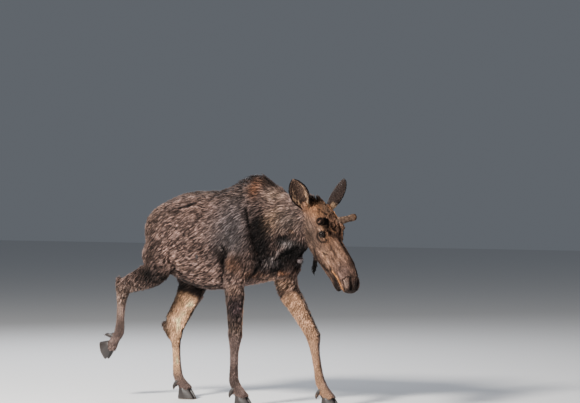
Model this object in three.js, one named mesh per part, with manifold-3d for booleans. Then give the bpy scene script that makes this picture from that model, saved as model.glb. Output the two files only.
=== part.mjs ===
// A young bull moose in mid-stride, life size, as a still model.
//
// Millimetres, +Z up, +X towards the head, +Y to the animal's left. The floor is z = 0.
// The flesh is built whole, from tubes that follow the trunk, neck, head and limbs, and is
// then parted with thin cuts where a person would name its parts. Hooves, antlers, eyes,
// ears, tail and bell are pieces of their own, each seated in a socket with a small gap.
import * as THREE from "three";
import { mergeVertices } from "three/addons/utils/BufferGeometryUtils.js";
import Module from "manifold-3d";

const wasm = await Module();
wasm.setup();

// ---------------------------------------------------------------- driving dimensions
const CUT = 1.0; // width of the thin cuts that part the flesh
const GAP = 0.8; // clearance of a seated piece in its socket
const LEFT = 1;
const RIGHT = -1;

const FOREARM = 445; // elbow to knee
const FORE_CANNON = 372; // knee to fetlock
const FETLOCK_HEIGHT = 205; // of a planted foot
const COLORS = {
  coat: 0x3d2c22,
  legs: 0x6a5442,
  face: 0x6b4a35,
  horn: 0x231d1a,
  velvet: 0x4a3426,
  eye: 0x120c0a,
};

// ---------------------------------------------------------------- tubes
const vec = (x, y, z) => new THREE.Vector3(x, y, z);

// One ring of a tube: its middle, and how far it reaches over, under and sideways.
// peak and keel shape its upper and lower halves: 2 is round, less is pointed, more is square.
const ring = (x, y, z, over, under, side, peak = 2, keel = 2) => ({
  at: vec(x, y, z), over, under, side, peak, keel,
});

// Values of a list carried smoothly from ring to ring, at a place from 0 to 1.
function smooth(values, place) {
  const last = values.length - 1;
  const i = Math.min(Math.floor(place * last), last - 1);
  const t = place * last - i;
  const a = values[Math.max(i - 1, 0)];
  const b = values[i];
  const c = values[i + 1];
  const d = values[Math.min(i + 2, last)];
  return 0.5 * (2 * b + (c - a) * t + (2 * a - 5 * b + 4 * c - d) * t * t
    + (3 * b - a - 3 * c + d) * t * t * t);
}

// A closed surface from rows of points. Each row is a closed ring. An end is a fan around its
// pole, or where it has none, a strip between the row's first half and its second half.
function closedGrid(rows, first, last) {
  const sides = rows[0].length;
  const points = [...rows.flat(), first ?? rows[0][0], last ?? rows[0][0]];
  const at = (row, side) => row * sides + ((side + sides) % sides);
  const faces = [];
  const end = (row, pole, flip) => {
    const cap = [];
    for (let s = 0; s < sides && pole !== null; s++) cap.push([pole, at(row, s + 1), at(row, s)]);
    for (let s = 0; s < sides / 2 - 1 && pole === null; s++) {
      cap.push([at(row, s), at(row, -1 - s), at(row, s + 1)]);
      cap.push([at(row, -1 - s), at(row, -2 - s), at(row, s + 1)]);
    }
    for (const [i, j, k] of cap) faces.push(...(flip ? [i, k, j] : [i, j, k]));
  };
  end(0, first ? points.length - 2 : null, false);
  end(rows.length - 1, last ? points.length - 1 : null, true);
  for (let r = 0; r + 1 < rows.length; r++) {
    for (let s = 0; s < sides; s++) {
      faces.push(at(r, s), at(r, s + 1), at(r + 1, s));
      faces.push(at(r, s + 1), at(r + 1, s + 1), at(r + 1, s));
    }
  }
  let volume = 0;
  for (let f = 0; f < faces.length; f += 3) {
    const [a, b, c] = [points[faces[f]], points[faces[f + 1]], points[faces[f + 2]]];
    volume += a.dot(b.clone().cross(c));
  }
  const geometry = new THREE.BufferGeometry().setFromPoints(points);
  geometry.setIndex(volume > 0 ? faces : faces.reverse());
  return geometry;
}

// A tube through the rings, with "left" as the sideways direction of every ring. Its rings are
// square to its path, or all stand along one "up" where that is given.
function tube(rings, { sides, steps, left = vec(0, 1, 0), up: upright }) {
  const path = new THREE.CatmullRomCurve3(rings.map((r) => r.at), false, "catmullrom", 0.5);
  const rows = [];
  for (let i = 0; i <= steps; i++) {
    const place = i / steps;
    const [over, under, side, peak, keel] = ["over", "under", "side", "peak", "keel"].map((key) =>
      smooth(rings.map((r) => r[key]), place));
    const middle = path.getPoint(place);
    const up = upright ?? path.getTangent(place).cross(left).normalize();
    const row = [];
    for (let s = 0; s < sides; s++) {
      const angle = (2 * Math.PI * s) / sides;
      const [c, h] = [Math.cos(angle), Math.sin(angle)];
      const power = 2 / (h > 0 ? peak : keel);
      const across = side * Math.sign(c) * Math.abs(c) ** power;
      const rise = (h > 0 ? over : under) * Math.sign(h) * Math.abs(h) ** power;
      row.push(middle.clone().addScaledVector(left, across).addScaledVector(up, rise));
    }
    rows.push(row);
  }
  return closedGrid(rows, rings[0].at, rings.at(-1).at);
}

// ---------------------------------------------------------------- solids
// The bare surface, each corner once.
function welded(geometry) {
  const bare = new THREE.BufferGeometry()
    .setAttribute("position", geometry.getAttribute("position"))
    .setIndex(geometry.index);
  return mergeVertices(bare, 1e-3);
}

function solidOf(geometry) {
  const merged = welded(geometry);
  return new wasm.Manifold(new wasm.Mesh({
    numProp: 3,
    vertProperties: new Float32Array(merged.attributes.position.array),
    triVerts: new Uint32Array(merged.index.array),
  }));
}

function geometryOf(solid) {
  const { vertProperties, triVerts } = solid.getMesh();
  return new THREE.BufferGeometry()
    .setAttribute("position", new THREE.BufferAttribute(vertProperties, 3))
    .setIndex(new THREE.BufferAttribute(triVerts, 1));
}

const joined = (geometries) => geometries.map(solidOf).reduce((a, b) => a.add(b));

// The same shape with every point moved out by the gap, for the socket that it sits in.
function swollen(geometry, gap = GAP) {
  const grown = welded(geometry.clone());
  grown.computeVertexNormals();
  const { position, normal } = grown.attributes;
  for (let i = 0; i < position.count; i++) {
    position.setXYZ(i, position.getX(i) + gap * normal.getX(i),
      position.getY(i) + gap * normal.getY(i), position.getZ(i) + gap * normal.getZ(i));
  }
  return grown;
}

const without = (solid, geometries) => geometries.reduce((rest, g) => rest.subtract(solidOf(g)), solid);

// A thin flat cutter, square to its normal, wide along "across" and deep the other way.
function cutter({ at, normal, across, wide, deep }) {
  const z = normal.clone().normalize();
  const x = across.clone().addScaledVector(z, -across.dot(z)).normalize();
  const y = z.clone().cross(x);
  const plate = new THREE.BoxGeometry(wide, deep, CUT);
  plate.applyMatrix4(new THREE.Matrix4().makeBasis(x, y, z).setPosition(at));
  return solidOf(plate);
}

// ---------------------------------------------------------------- trunk and neck
// An upright slice of the trunk, from the heights of its back, its widest level and its belly.
const slice = (x, back, level, belly, side, peak = 2) =>
  ring(x, 0, level, back - level, level - belly, side, peak);

const TRUNK = [
  slice(-738, 1435, 1385, 1330, 45),
  slice(-710, 1508, 1375, 1235, 125),
  slice(-645, 1573, 1362, 1120, 186),
  slice(-540, 1626, 1348, 1035, 228),
  slice(-400, 1677, 1330, 975, 252),
  slice(-260, 1708, 1312, 928, 272),
  slice(-100, 1718, 1302, 904, 286),
  slice(50, 1730, 1302, 918, 284, 1.9),
  slice(150, 1780, 1308, 934, 270, 1.65),
  slice(215, 1820, 1314, 946, 256, 1.45),
  slice(285, 1841, 1320, 958, 244, 1.4),
  slice(345, 1848, 1326, 968, 232, 1.4),
  slice(425, 1831, 1332, 986, 216, 1.45),
  slice(540, 1754, 1345, 1005, 184, 1.6),
  slice(635, 1680, 1350, 1055, 148, 1.8),
  slice(700, 1525, 1350, 1170, 85),
];

//            x     y    z   over under side peak
const NECK = [
  ring(420, 0, 1370, 300, 300, 150),
  ring(540, -2, 1395, 364, 320, 168, 1.7),
  ring(650, -10, 1425, 302, 265, 148, 1.7),
  ring(755, -22, 1455, 228, 215, 124, 1.8),
  ring(850, -36, 1475, 190, 180, 106),
  ring(930, -50, 1478, 142, 130, 84),
];
const LUMP = { at: [731, 19, 1163], radius: 24 }; // a round growth on the front of the chest

// ---------------------------------------------------------------- legs
const between = (a, b, t) => a.clone().lerp(b, t);

// Rings from one joint to the next: [share of the way, front, back, side].
const along = (a, b, rows) => rows.map(([t, front, back, side]) => {
  const { x, y, z } = between(a, b, t);
  return ring(x, y, z, front, back, side);
});

// The point that lies a length away, leaning forwards from straight down, in degrees.
function below(from, length, lean, aside = 0) {
  const angle = THREE.MathUtils.degToRad(lean);
  return vec(from.x + length * Math.sin(angle), from.y + aside, from.z - length * Math.cos(angle));
}

// A ring of a shoulder or thigh, thin at its front and back edges, where it meets the trunk.
const upperRing = (side) => ([x, y, z, front, back, wide]) =>
  ring(x, side * y, z, front, back, wide, 1.75, 1.75);

// Joints of a foreleg, and the rings of shoulder and upper arm above its elbow.
function foreleg(side, { elbow, lean, cannonLean, upper }) {
  const knee = below(elbow, FOREARM, lean, -side * 12);
  const fetlock = below(knee, FORE_CANNON, cannonLean, -side * 6);
  const rings = upper.map(upperRing(side));
  return { side, fore: true, top: elbow, middle: knee, fetlock, footLean: 0, upper: rings };
}

function hindleg(side, { stifle, hock, fetlock, footLean = 0, upper, heel }) {
  const rings = upper.map(upperRing(side));
  return { side, fore: false, top: stifle, middle: hock, fetlock, footLean, upper: rings, heel };
}

const LEGS = {
  foreleg_right: foreleg(RIGHT, {
    elbow: vec(230, RIGHT * 178, 1018),
    lean: 0,
    cannonLean: -2,
    upper: [ // x, y, z, front, back, side
      [325, 60, 1670, 50, 50, 16],
      [335, 104, 1585, 120, 120, 34],
      [350, 128, 1480, 175, 180, 62],
      [352, 156, 1350, 205, 215, 84],
      [335, 168, 1230, 205, 215, 88],
      [290, 176, 1120, 172, 170, 82],
      [250, 179, 1040, 124, 132, 72],
    ],
  }),
  foreleg_left: foreleg(LEFT, {
    elbow: vec(500, LEFT * 165, 932),
    lean: 35,
    cannonLean: 12,
    upper: [
      [325, 60, 1670, 50, 50, 16],
      [345, 104, 1585, 120, 120, 34],
      [390, 124, 1480, 175, 180, 60],
      [435, 152, 1350, 200, 215, 80],
      [475, 160, 1220, 185, 205, 82],
      [497, 166, 1110, 142, 165, 76],
      [492, 167, 1015, 104, 118, 68],
    ],
  }),
  hindleg_left: hindleg(LEFT, {
    stifle: vec(-395, LEFT * 165, 985),
    hock: vec(-612, LEFT * 150, 590),
    fetlock: vec(-578, LEFT * 142, FETLOCK_HEIGHT - 20),
    heel: vec(-724, LEFT * 148, 612),
    upper: [
      [-480, 70, 1590, 60, 60, 20],
      [-475, 118, 1500, 150, 140, 50],
      [-470, 142, 1380, 215, 190, 84],
      [-460, 162, 1240, 225, 200, 98],
      [-450, 170, 1120, 190, 190, 92],
      [-425, 170, 1020, 140, 185, 82],
    ],
  }),
  hindleg_right: hindleg(RIGHT, {
    stifle: vec(-505, RIGHT * 178, 1070),
    hock: vec(-915, RIGHT * 160, 925),
    fetlock: vec(-952, RIGHT * 152, 545),
    heel: vec(-952, RIGHT * 158, 984),
    footLean: 72,
    upper: [
      [-480, 70, 1590, 60, 60, 20],
      [-475, 118, 1505, 150, 140, 50],
      [-475, 141, 1400, 205, 180, 86],
      [-475, 162, 1280, 210, 190, 100],
      [-490, 172, 1170, 175, 205, 100],
      [-510, 176, 1080, 120, 170, 92],
      [-530, 176, 1005, 60, 60, 55],
    ],
  }),
};

const FOREARM_RINGS = [[0.08, 96, 98, 65], [0.3, 91, 78, 62], [0.6, 77, 63, 57], [0.88, 67, 56, 51]];
const FORE_CANNON_RINGS = [[0.02, 66, 54, 54], [0.16, 52, 49, 46], [0.35, 35, 40, 34], [0.7, 31, 38, 31],
  [0.92, 36, 43, 37]];
const GASKIN_RINGS = {
  hindleg_left: [[0.15, 122, 160, 74], [0.4, 108, 122, 64], [0.65, 96, 116, 56], [0.85, 90, 120, 50],
    [0.97, 80, 120, 44], [1.04, 46, 80, 30]],
  hindleg_right: [[-0.2, 60, 60, 50], [0.0, 104, 105, 78], [0.25, 117, 104, 70], [0.5, 104, 84, 58],
    [0.75, 86, 72, 48], [0.95, 66, 62, 42], [1.04, 30, 40, 28]],
};
const HEEL_RINGS = [[-0.1, 14, 12, 12], [0.0, 32, 28, 27], [0.3, 48, 40, 34], [0.65, 50, 42, 34],
  [1.0, 34, 30, 28]];
const HIND_CANNON_RINGS = [[-0.12, 30, 30, 28], [0.0, 80, 56, 46], [0.1, 78, 54, 44],
  [0.24, 52, 49, 39], [0.42, 35, 40, 33], [0.7, 31, 38, 31], [0.92, 37, 44, 38]];
const PASTERN_RINGS = [[0.12, 38, 44, 41], [0.5, 36, 37, 40], [0.9, 48, 42, 52], [1.1, 50, 46, 55]];

// The frame of a foot: its origin on the floor under the fetlock, toes towards +X.
function footFrame({ fetlock, footLean }) {
  const height = footLean ? FETLOCK_HEIGHT : fetlock.z;
  return new THREE.Matrix4()
    .makeTranslation(fetlock.x, fetlock.y, fetlock.z)
    .multiply(new THREE.Matrix4().makeRotationY(THREE.MathUtils.degToRad(footLean)))
    .multiply(new THREE.Matrix4().makeTranslation(0, 0, -height));
}

const HOOF_TOP = 80; // the height at which the hooves end and the pastern begins
const CORONET = vec(84, 0, HOOF_TOP);

// One claw: a pointed sole that stands flat, sloping up and back to the coronet.
const CLAW_LEVELS = [ // height, middle, half length, half width
  [0, 100, 74, 26],
  [16, 98, 73, 27.5],
  [50, 90, 60, 27],
  [HOOF_TOP, 80, 46, 24],
];
function claw(side) {
  const corners = 10;
  const rows = CLAW_LEVELS.map(([height, middle, long, wide]) => {
    const row = [];
    for (let i = 0; i < corners; i++) {
      const angle = (2 * Math.PI * i) / corners;
      const nose = Math.max(Math.cos(angle), 0);
      const offset = side * (30 - 10 * nose) + wide * (1 - 0.38 * nose ** 1.5) * Math.sin(angle);
      row.push(vec(middle + long * Math.cos(angle), offset, height));
    }
    return row;
  });
  const [sole, top] = [CLAW_LEVELS[0], CLAW_LEVELS.at(-1)];
  return closedGrid(rows, vec(sole[1], side * 28, 0), vec(top[1], side * 28, HOOF_TOP));
}

// A dewclaw behind the pastern.
function dewclaw(side) {
  return tube([
    ring(24, side * 26, 152, 12, 12, 11),
    ring(2, side * 32, 128, 18, 16, 16),
    ring(-12, side * 37, 98, 14, 13, 14),
    ring(-14, side * 40, 76, 4, 4, 4),
  ], { sides: 6, steps: 3 });
}

function legFlesh(leg, name) {
  const coronet = CORONET.clone().applyMatrix4(footFrame(leg));
  const pastern = along(leg.fetlock, coronet, PASTERN_RINGS);
  if (leg.fore) {
    return [tube([
      ...leg.upper,
      ...along(leg.top, leg.middle, FOREARM_RINGS),
      ...along(leg.middle, leg.fetlock, FORE_CANNON_RINGS),
      ...pastern,
    ], { sides: 10, steps: 26 })];
  }
  const gaskin = along(leg.top, leg.middle, GASKIN_RINGS[name]);
  const bent = leg.footLean > 0;
  const hollow = between(leg.middle, leg.fetlock, 0.3);
  return [
    tube(bent ? leg.upper : [...leg.upper, ...gaskin], { sides: 10, steps: bent ? 8 : 17 }),
    ...(bent ? [tube(gaskin, { sides: 10, steps: 8 })] : []),
    tube([...along(leg.middle, leg.fetlock, HIND_CANNON_RINGS), ...pastern], { sides: 10, steps: 18 }),
    tube(along(leg.heel, hollow, HEEL_RINGS), { sides: 8, steps: 5 }),
  ];
}

// ---------------------------------------------------------------- head
// The head's own frame: +X to the nose, +Y left, +Z out of the forehead, origin at the crown.
const CROWN = vec(1012, -52, 1600);
const HEAD_PITCH = 64; // degrees below level
const HEAD_TURN = -12; // degrees, towards the animal's right
const headFrame = new THREE.Matrix4()
  .makeTranslation(CROWN.x, CROWN.y, CROWN.z)
  .multiply(new THREE.Matrix4().makeRotationZ(THREE.MathUtils.degToRad(HEAD_TURN)))
  .multiply(new THREE.Matrix4().makeRotationY(THREE.MathUtils.degToRad(HEAD_PITCH)));

// A head ring from the heights of its brow line and of its underside.
const headRing = (x, top, under, side, peak = 2, keel = 2) => {
  const middle = under + (top - under) * 0.6;
  return ring(x, 0, middle, top - middle, middle - under, side, peak, keel);
};
const SKULL = [
  headRing(-85, -90, -180, 40),
  headRing(-50, -48, -222, 78),
  headRing(20, -8, -262, 104, 2.4, 2.2),
  headRing(100, 18, -286, 114, 2.8, 2.4),
  headRing(175, 20, -290, 111, 2.8, 2.5),
  headRing(240, 8, -282, 97, 2.5, 2.5),
  headRing(310, 8, -262, 85, 2.2, 2.4),
  headRing(390, 30, -232, 76, 2.2, 2.3),
  headRing(450, 46, -196, 71, 2.3, 2.2),
  headRing(520, 58, -160, 71, 2.4, 2.2),
  headRing(580, 61, -145, 73, 2.4, 2.2),
  headRing(635, 52, -139, 76, 2.4, 2.2),
  headRing(680, 29, -134, 74, 2.4, 2.2),
  headRing(710, -6, -120, 62, 2.3, 2.2),
  headRing(724, -48, -86, 28),
];
const JAW = [
  ring(300, 0, -206, 40, 40, 44),
  ring(360, 0, -204, 44, 44, 47),
  ring(440, 0, -188, 40, 40, 43),
  ring(530, 0, -164, 34, 33, 39),
  ring(600, 0, -152, 28, 30, 38),
  ring(645, 0, -148, 22, 24, 33),
  ring(668, 0, -144, 10, 12, 16),
];
const EYE = { x: 236, y: 103, z: -40, radius: 21 };

// The bony rim over each eye, below the base of the antler.
const browRidge = (side) => tube([
  ring(130, side * 56, -14, 26, 20, 30),
  ring(180, side * 82, -10, 34, 24, 38),
  ring(228, side * 96, -14, 34, 18, 36),
  ring(275, side * 82, -32, 24, 18, 28),
  ring(325, side * 52, -44, 14, 14, 14),
], { sides: 8, steps: 6 });

// A short antler in velvet: a stub with a swollen end.
const ANTLERS = { // root and tip of each, in the head's frame
  left: [vec(150, 70, 0), vec(139, 217, 66)],
  right: [vec(150, -70, 0), vec(170, -184, 57)],
};
function antler([root, tip]) {
  const rings = along(root, tip, [[0.0, 24, 24, 24], [0.25, 25, 25, 25], [0.55, 21, 21, 21],
    [0.8, 24, 24, 24], [0.95, 20, 20, 20], [1.0, 9, 9, 9]]);
  return tube(rings, { sides: 8, steps: 8, left: vec(1, 0, 0) });
}

// ---------------------------------------------------------------- ears
// An ear is a leaf rolled into a cup. Along its length it has a width, and a half angle
// through which that width is curled; the flat of the leaf has a thickness.
const EAR_THICKNESS = 9;
const EAR_ROWS = [ // share of the length, half width, half angle of the curl in radians
  [0.0, 52, 2.3], [0.12, 66, 2.0], [0.3, 84, 1.5], [0.5, 89, 1.15], [0.7, 76, 0.95],
  [0.88, 45, 0.8], [0.97, 19, 0.7],
];
function ear([root, reach, opening], grown = 0) {
  const z = reach.clone().normalize();
  const y = opening.clone().addScaledVector(z, -opening.dot(z)).normalize();
  const x = y.clone().cross(z);
  const across = 6;
  const thick = EAR_THICKNESS / 2 + grown;
  const rows = EAR_ROWS.map(([share, flat, curl], i) => {
    const radius = flat / curl;
    const edge = 1 + grown / flat;
    const foot = i ? 0 : grown;
    const back = Math.min(radius * (1 - Math.cos(curl)) * 0.5, 30);
    const point = (t, r) => root.clone()
      .addScaledVector(z, share * reach.length() - foot)
      .addScaledVector(x, r * Math.sin(curl * edge * t))
      .addScaledVector(y, radius - r * Math.cos(curl * edge * t) - back);
    const row = [];
    for (let i = 0; i <= across; i++) row.push(point((2 * i) / across - 1, radius + thick));
    for (let i = across; i >= 0; i--) row.push(point((2 * i) / across - 1, radius - thick));
    return row;
  });
  return closedGrid(rows);
}

const inHead = (geometry) => geometry.applyMatrix4(headFrame);
const EARS = { // root, reach from there to the tip, and opening of each, in the head's frame
  left: [vec(0, 112, -90), vec(-202, 150, 122), vec(0.58, 0.8, -0.16)],
  right: [vec(-12, -92, -118), vec(-206, -148, 106), vec(0.35, -0.75, 0.55)],
};

// ---------------------------------------------------------------- tail and bell
const TAIL = [
  ring(-690, 0, 1510, 20, 22, 26),
  ring(-738, 0, 1490, 22, 22, 30),
  ring(-757, 0, 1440, 20, 18, 27),
  ring(-760, 0, 1392, 8, 8, 10),
];
const BELL = [
  ring(930, -42, 1238, 30, 30, 16),
  ring(921, -44, 1190, 26, 24, 14),
  ring(911, -46, 1140, 18, 18, 13),
  ring(906, -47, 1100, 16, 16, 12),
  ring(904, -47, 1078, 5, 5, 5),
];

// ---------------------------------------------------------------- assembly
const headFlesh = [
  tube(SKULL, { sides: 18, steps: 22 }),
  tube(JAW, { sides: 10, steps: 8 }),
  browRidge(LEFT),
  browRidge(RIGHT),
].map(inHead);

const flesh = joined([
  tube(TRUNK, { sides: 18, steps: 20, up: vec(0, 0, 1) }),
  tube(NECK, { sides: 14, steps: 9 }),
  new THREE.SphereGeometry(LUMP.radius, 8, 6).translate(...LUMP.at),
  ...headFlesh,
  ...Object.entries(LEGS).flatMap(([name, leg]) => legFlesh(leg, name)),
]);

const seats = {}; // every piece that sits in the flesh, by node name
const sockets = []; // and the room that each of them takes
for (const [sideName, side] of [["left", LEFT], ["right", RIGHT]]) {
  const earName = `ear_${sideName}`;
  seats[earName] = inHead(ear(EARS[sideName]));
  sockets.push(inHead(ear(EARS[sideName], 1.2)));
  seats[`antler_${sideName}`] = inHead(antler(ANTLERS[sideName]));
  seats[`eye_${sideName}`] = inHead(new THREE.SphereGeometry(EYE.radius, 10, 6)
    .translate(EYE.x, side * EYE.y, EYE.z));
}
seats.tail = tube(TAIL, { sides: 6, steps: 6 });
seats.bell = tube(BELL, { sides: 6, steps: 7 });
const hooves = {};
for (const [name, leg] of Object.entries(LEGS)) {
  for (const [place, side] of [["outer", leg.side], ["inner", -leg.side]]) {
    hooves[`${name}_hoof_${place}`] = claw(side).applyMatrix4(footFrame(leg));
    seats[`${name}_dewclaw_${place}`] = dewclaw(side).applyMatrix4(footFrame(leg));
  }
}

for (const [name, piece] of Object.entries(seats)) {
  if (!name.startsWith("ear")) sockets.push(swollen(piece));
}

// Where the flesh is parted, and a point inside each named part.
const LEFTWARDS = vec(0, 1, 0);
const cuts = [
  { at: vec(610, 0, 1360), normal: vec(1, 0, 0.16), across: LEFTWARDS, wide: 420, deep: 900 },
  { at: vec(885, -30, 1460), normal: vec(0.99, -0.1, -0.1), across: LEFTWARDS, wide: 300, deep: 520 },
];
const partPoints = {
  trunk: vec(0, 0, 1300),
  neck: vec(740, -20, 1450),
  head: vec(300, 0, -100).applyMatrix4(headFrame),
};
const TOP_CUT = { foreleg_right: 0.1, foreleg_left: 0.14, hindleg_left: 0.28, hindleg_right: 0.3 };
for (const [name, leg] of Object.entries(LEGS)) {
  const { top, middle, fetlock, fore } = leg;
  const down = middle.clone().sub(top).normalize();
  const shin = fetlock.clone().sub(middle).normalize();
  const upper = `${name}_${fore ? "forearm" : "gaskin"}`;
  const coronet = CORONET.clone().applyMatrix4(footFrame(leg));
  const across = LEFTWARDS;
  cuts.push(
    { at: between(top, middle, TOP_CUT[name]), normal: down, across, wide: 190, deep: 330 },
    { at: between(middle, fetlock, fore ? 0.0 : 0.33), normal: shin, across, wide: 150, deep: 170 },
    { at: between(middle, fetlock, 0.93), normal: shin, across, wide: 130, deep: 150 },
  );
  partPoints[upper] = between(top, middle, 0.6);
  partPoints[`${name}_cannon`] = between(middle, fetlock, 0.5);
  partPoints[`${name}_pastern`] = between(fetlock, coronet, 0.4);
}

// Everything below the top of a foot's hooves is left out of the flesh.
const soles = Object.values(LEGS).map((leg) => new THREE.BoxGeometry(260, 160, 120)
  .translate(60, 0, HOOF_TOP + GAP - 60)
  .applyMatrix4(footFrame(leg)));

const whole = without(flesh, [...sockets, ...soles]);
const pieces = cuts.reduce((rest, cut) => rest.subtract(cutter(cut)), whole).decompose();
const pin = (point) => solidOf(new THREE.BoxGeometry(2, 2, 2).translate(...point.toArray()));
const holding = (point) => pieces.find((piece) => piece.intersect(pin(point)).volume() > 0);
function material(color, roughness = 0.85) {
  return new THREE.MeshStandardMaterial({ color, roughness, metalness: 0 });
}
const finishes = {
  coat: material(COLORS.coat),
  legs: material(COLORS.legs),
  face: material(COLORS.face),
  horn: material(COLORS.horn, 0.5),
  velvet: material(COLORS.velvet, 0.9),
  eye: material(COLORS.eye, 0.08),
};
function finishOf(name) {
  if (/hoof|dewclaw/.test(name)) return finishes.horn;
  if (/cannon|pastern/.test(name)) return finishes.legs;
  if (/antler/.test(name)) return finishes.velvet;
  if (/eye/.test(name)) return finishes.eye;
  return /head/.test(name) ? finishes.face : finishes.coat;
}

const moose = new THREE.Group();
function add(name, geometry) {
  const mesh = new THREE.Mesh(geometry, finishOf(name));
  mesh.name = name;
  moose.add(mesh);
}
for (const [name, point] of Object.entries(partPoints)) {
  const piece = holding(point);
  if (!piece) throw new Error(`no part of the flesh holds the point of ${name}`);
  add(name, geometryOf(piece));
}
for (const [name, geometry] of Object.entries({ ...seats, ...hooves })) add(name, geometry);

// The origin is on the floor, under the middle of the whole animal.
const bounds = new THREE.Box3().setFromObject(moose);
const centre = bounds.getCenter(vec(0, 0, 0));
moose.position.set(-centre.x, -centre.y, -bounds.min.z);

export default moose;
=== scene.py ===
# %% [markdown]
# # A young bull moose, wading
#
# A museum mounts a moose as a mannequin of its body with the skin drawn over it.
# This lesson does the same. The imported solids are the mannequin, one skin is pulled over them,
# and a coat of short tufts is laid on the skin, all in the frame's own place and size.

# %% Load the frame
import math

import bmesh
import bpy
import numpy as np
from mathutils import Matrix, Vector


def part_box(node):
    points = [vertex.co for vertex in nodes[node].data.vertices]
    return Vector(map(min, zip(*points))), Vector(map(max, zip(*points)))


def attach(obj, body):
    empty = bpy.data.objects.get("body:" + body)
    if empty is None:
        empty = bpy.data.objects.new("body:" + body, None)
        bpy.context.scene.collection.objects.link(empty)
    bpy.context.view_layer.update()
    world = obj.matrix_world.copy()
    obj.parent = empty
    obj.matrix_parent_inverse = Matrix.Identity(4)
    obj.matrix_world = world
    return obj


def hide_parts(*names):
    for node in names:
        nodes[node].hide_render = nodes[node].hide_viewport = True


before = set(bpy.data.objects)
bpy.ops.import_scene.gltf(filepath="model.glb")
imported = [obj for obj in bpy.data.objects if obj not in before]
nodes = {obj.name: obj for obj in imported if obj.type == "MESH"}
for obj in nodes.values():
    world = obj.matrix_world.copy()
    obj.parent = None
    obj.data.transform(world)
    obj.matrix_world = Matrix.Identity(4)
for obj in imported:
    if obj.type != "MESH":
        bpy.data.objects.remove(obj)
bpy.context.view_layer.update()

# %% [markdown]
# ## Places on the animal
#
# Places on the body are in millimetres from the middle of the floor under it, +X towards the
# head and +Y to its left. The head is easier to build in a frame of its own: along the nose,
# to the left, and out of the forehead. Where that frame sits is worked out from the two eyes.

# %% The frame of the head
MM = 0.001
HEAD_DOWN = math.radians(64)  # how far the nose points below level
HEAD_TURN = math.radians(-12)  # how far the head turns to its left
EYE_PLACE = np.array([236.0, 103.0, -40.0])  # the left eye in the head's frame
EYE_RADIUS = 21.0

nose_way = np.array([math.cos(HEAD_TURN) * math.cos(HEAD_DOWN),
                     math.sin(HEAD_TURN) * math.cos(HEAD_DOWN), -math.sin(HEAD_DOWN)])
left_way = np.array([-math.sin(HEAD_TURN), math.cos(HEAD_TURN), 0])
HEAD_WAYS = np.array([nose_way, left_way, np.cross(nose_way, left_way)])


def middle_of(node):
    """The middle of a node's box, in millimetres."""
    low, high = (np.array(corner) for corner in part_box(node))
    return (low + high) / 2 / MM


between_eyes = (middle_of("eye_left") + middle_of("eye_right")) / 2
CROWN = between_eyes - (EYE_PLACE * [1, 0, 1]) @ HEAD_WAYS


def to_head(places):
    """Places on the body, told in the head's frame."""
    return (places - CROWN) @ HEAD_WAYS.T


def fold(places):
    """Places with the right side folded onto the left."""
    return places * [1, 0, 1] + np.abs(places) * [0, 1, 0]


def from_head(places):
    """Places in the head's frame, put where the head is."""
    return CROWN + np.asarray(places, float) @ HEAD_WAYS


print("the crown of the head is at", np.round(CROWN))

# %% [markdown]
# ## Camera, floor and light
#
# The view is level, from the front right and from far off with a long lens, so the near and
# far legs keep nearly one scale. The animal stands left of the middle of the picture.
# One soft light high on the left of the camera models the near side, a weak one on the right
# keeps the chest and muzzle from going black, and one behind draws a light edge on the back.

# %% Camera
VIEW_TURN = math.radians(35)  # round from straight at the right side, towards the head
VIEW_DISTANCE = 16.94
VIEW_HEIGHT = 1.71
AIM_RIGHT = 0.4455  # the middle of the picture is this far to the right of the animal's
AIM_HEIGHT = 1.618
PICTURE_ANGLE = 2 * math.atan(580 / 2 / 2125)  # across the picture

view_right = np.array([math.cos(VIEW_TURN), math.sin(VIEW_TURN), 0])
view_back = np.array([math.sin(VIEW_TURN), -math.cos(VIEW_TURN), 0])


def look(thing, place, aim):
    """Puts a camera or light at a place in metres and turns it to look at another."""
    from mathutils import Vector
    thing.location = place
    thing.rotation_euler = (Vector(aim) - Vector(place)).to_track_quat("-Z", "Y").to_euler()


camera = bpy.data.objects.new("camera", bpy.data.cameras.new("camera"))
bpy.context.scene.collection.objects.link(camera)
camera.data.angle = PICTURE_ANGLE
camera.data.clip_end = 200
look(camera, view_right * AIM_RIGHT + view_back * VIEW_DISTANCE + [0, 0, VIEW_HEIGHT],
     view_right * AIM_RIGHT + [0, 0, AIM_HEIGHT])
bpy.context.scene.camera = camera
print("lens", round(camera.data.lens, 1), "mm, from", np.round(camera.location, 2))


# %% Lights and floor
def linear(hex_colour):
    """An sRGB hex colour as linear red, green and blue."""
    shares = np.array([int(hex_colour[i:i + 2], 16) for i in (1, 3, 5)]) / 255
    return np.where(shares < 0.04045, shares / 12.92, ((shares + 0.055) / 1.055) ** 2.4)


def softbox(name, place, width, watts, colour):
    """A square area light that looks at the chest."""
    light = bpy.data.lights.new(name, "AREA")
    light.size = width
    light.energy = watts
    light.color = linear(colour)
    thing = bpy.data.objects.new(name, light)
    bpy.context.scene.collection.objects.link(thing)
    look(thing, place, (0.1, 0, 1.1))


softbox("key_light", view_back * 6 - view_right * 5 + [0, 0, 6.5], 1.7, 2500, "#fffaf3")
softbox("fill_light", view_back * 5 + view_right * 7 + [0, 0, 2.5], 4, 125, "#dde8ff")
softbox("rim_light", -view_back * 6 - view_right * 2 + [0, 0, 6], 3, 420, "#f2f6ff")

WORLD_LIGHT = 0.18
world = bpy.data.worlds.new("studio")
world.use_nodes = True
world.node_tree.nodes["Background"].inputs["Color"].default_value = (*linear("#d6dfec"), 1)
world.node_tree.nodes["Background"].inputs["Strength"].default_value = WORLD_LIGHT
bpy.context.scene.world = world

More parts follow.
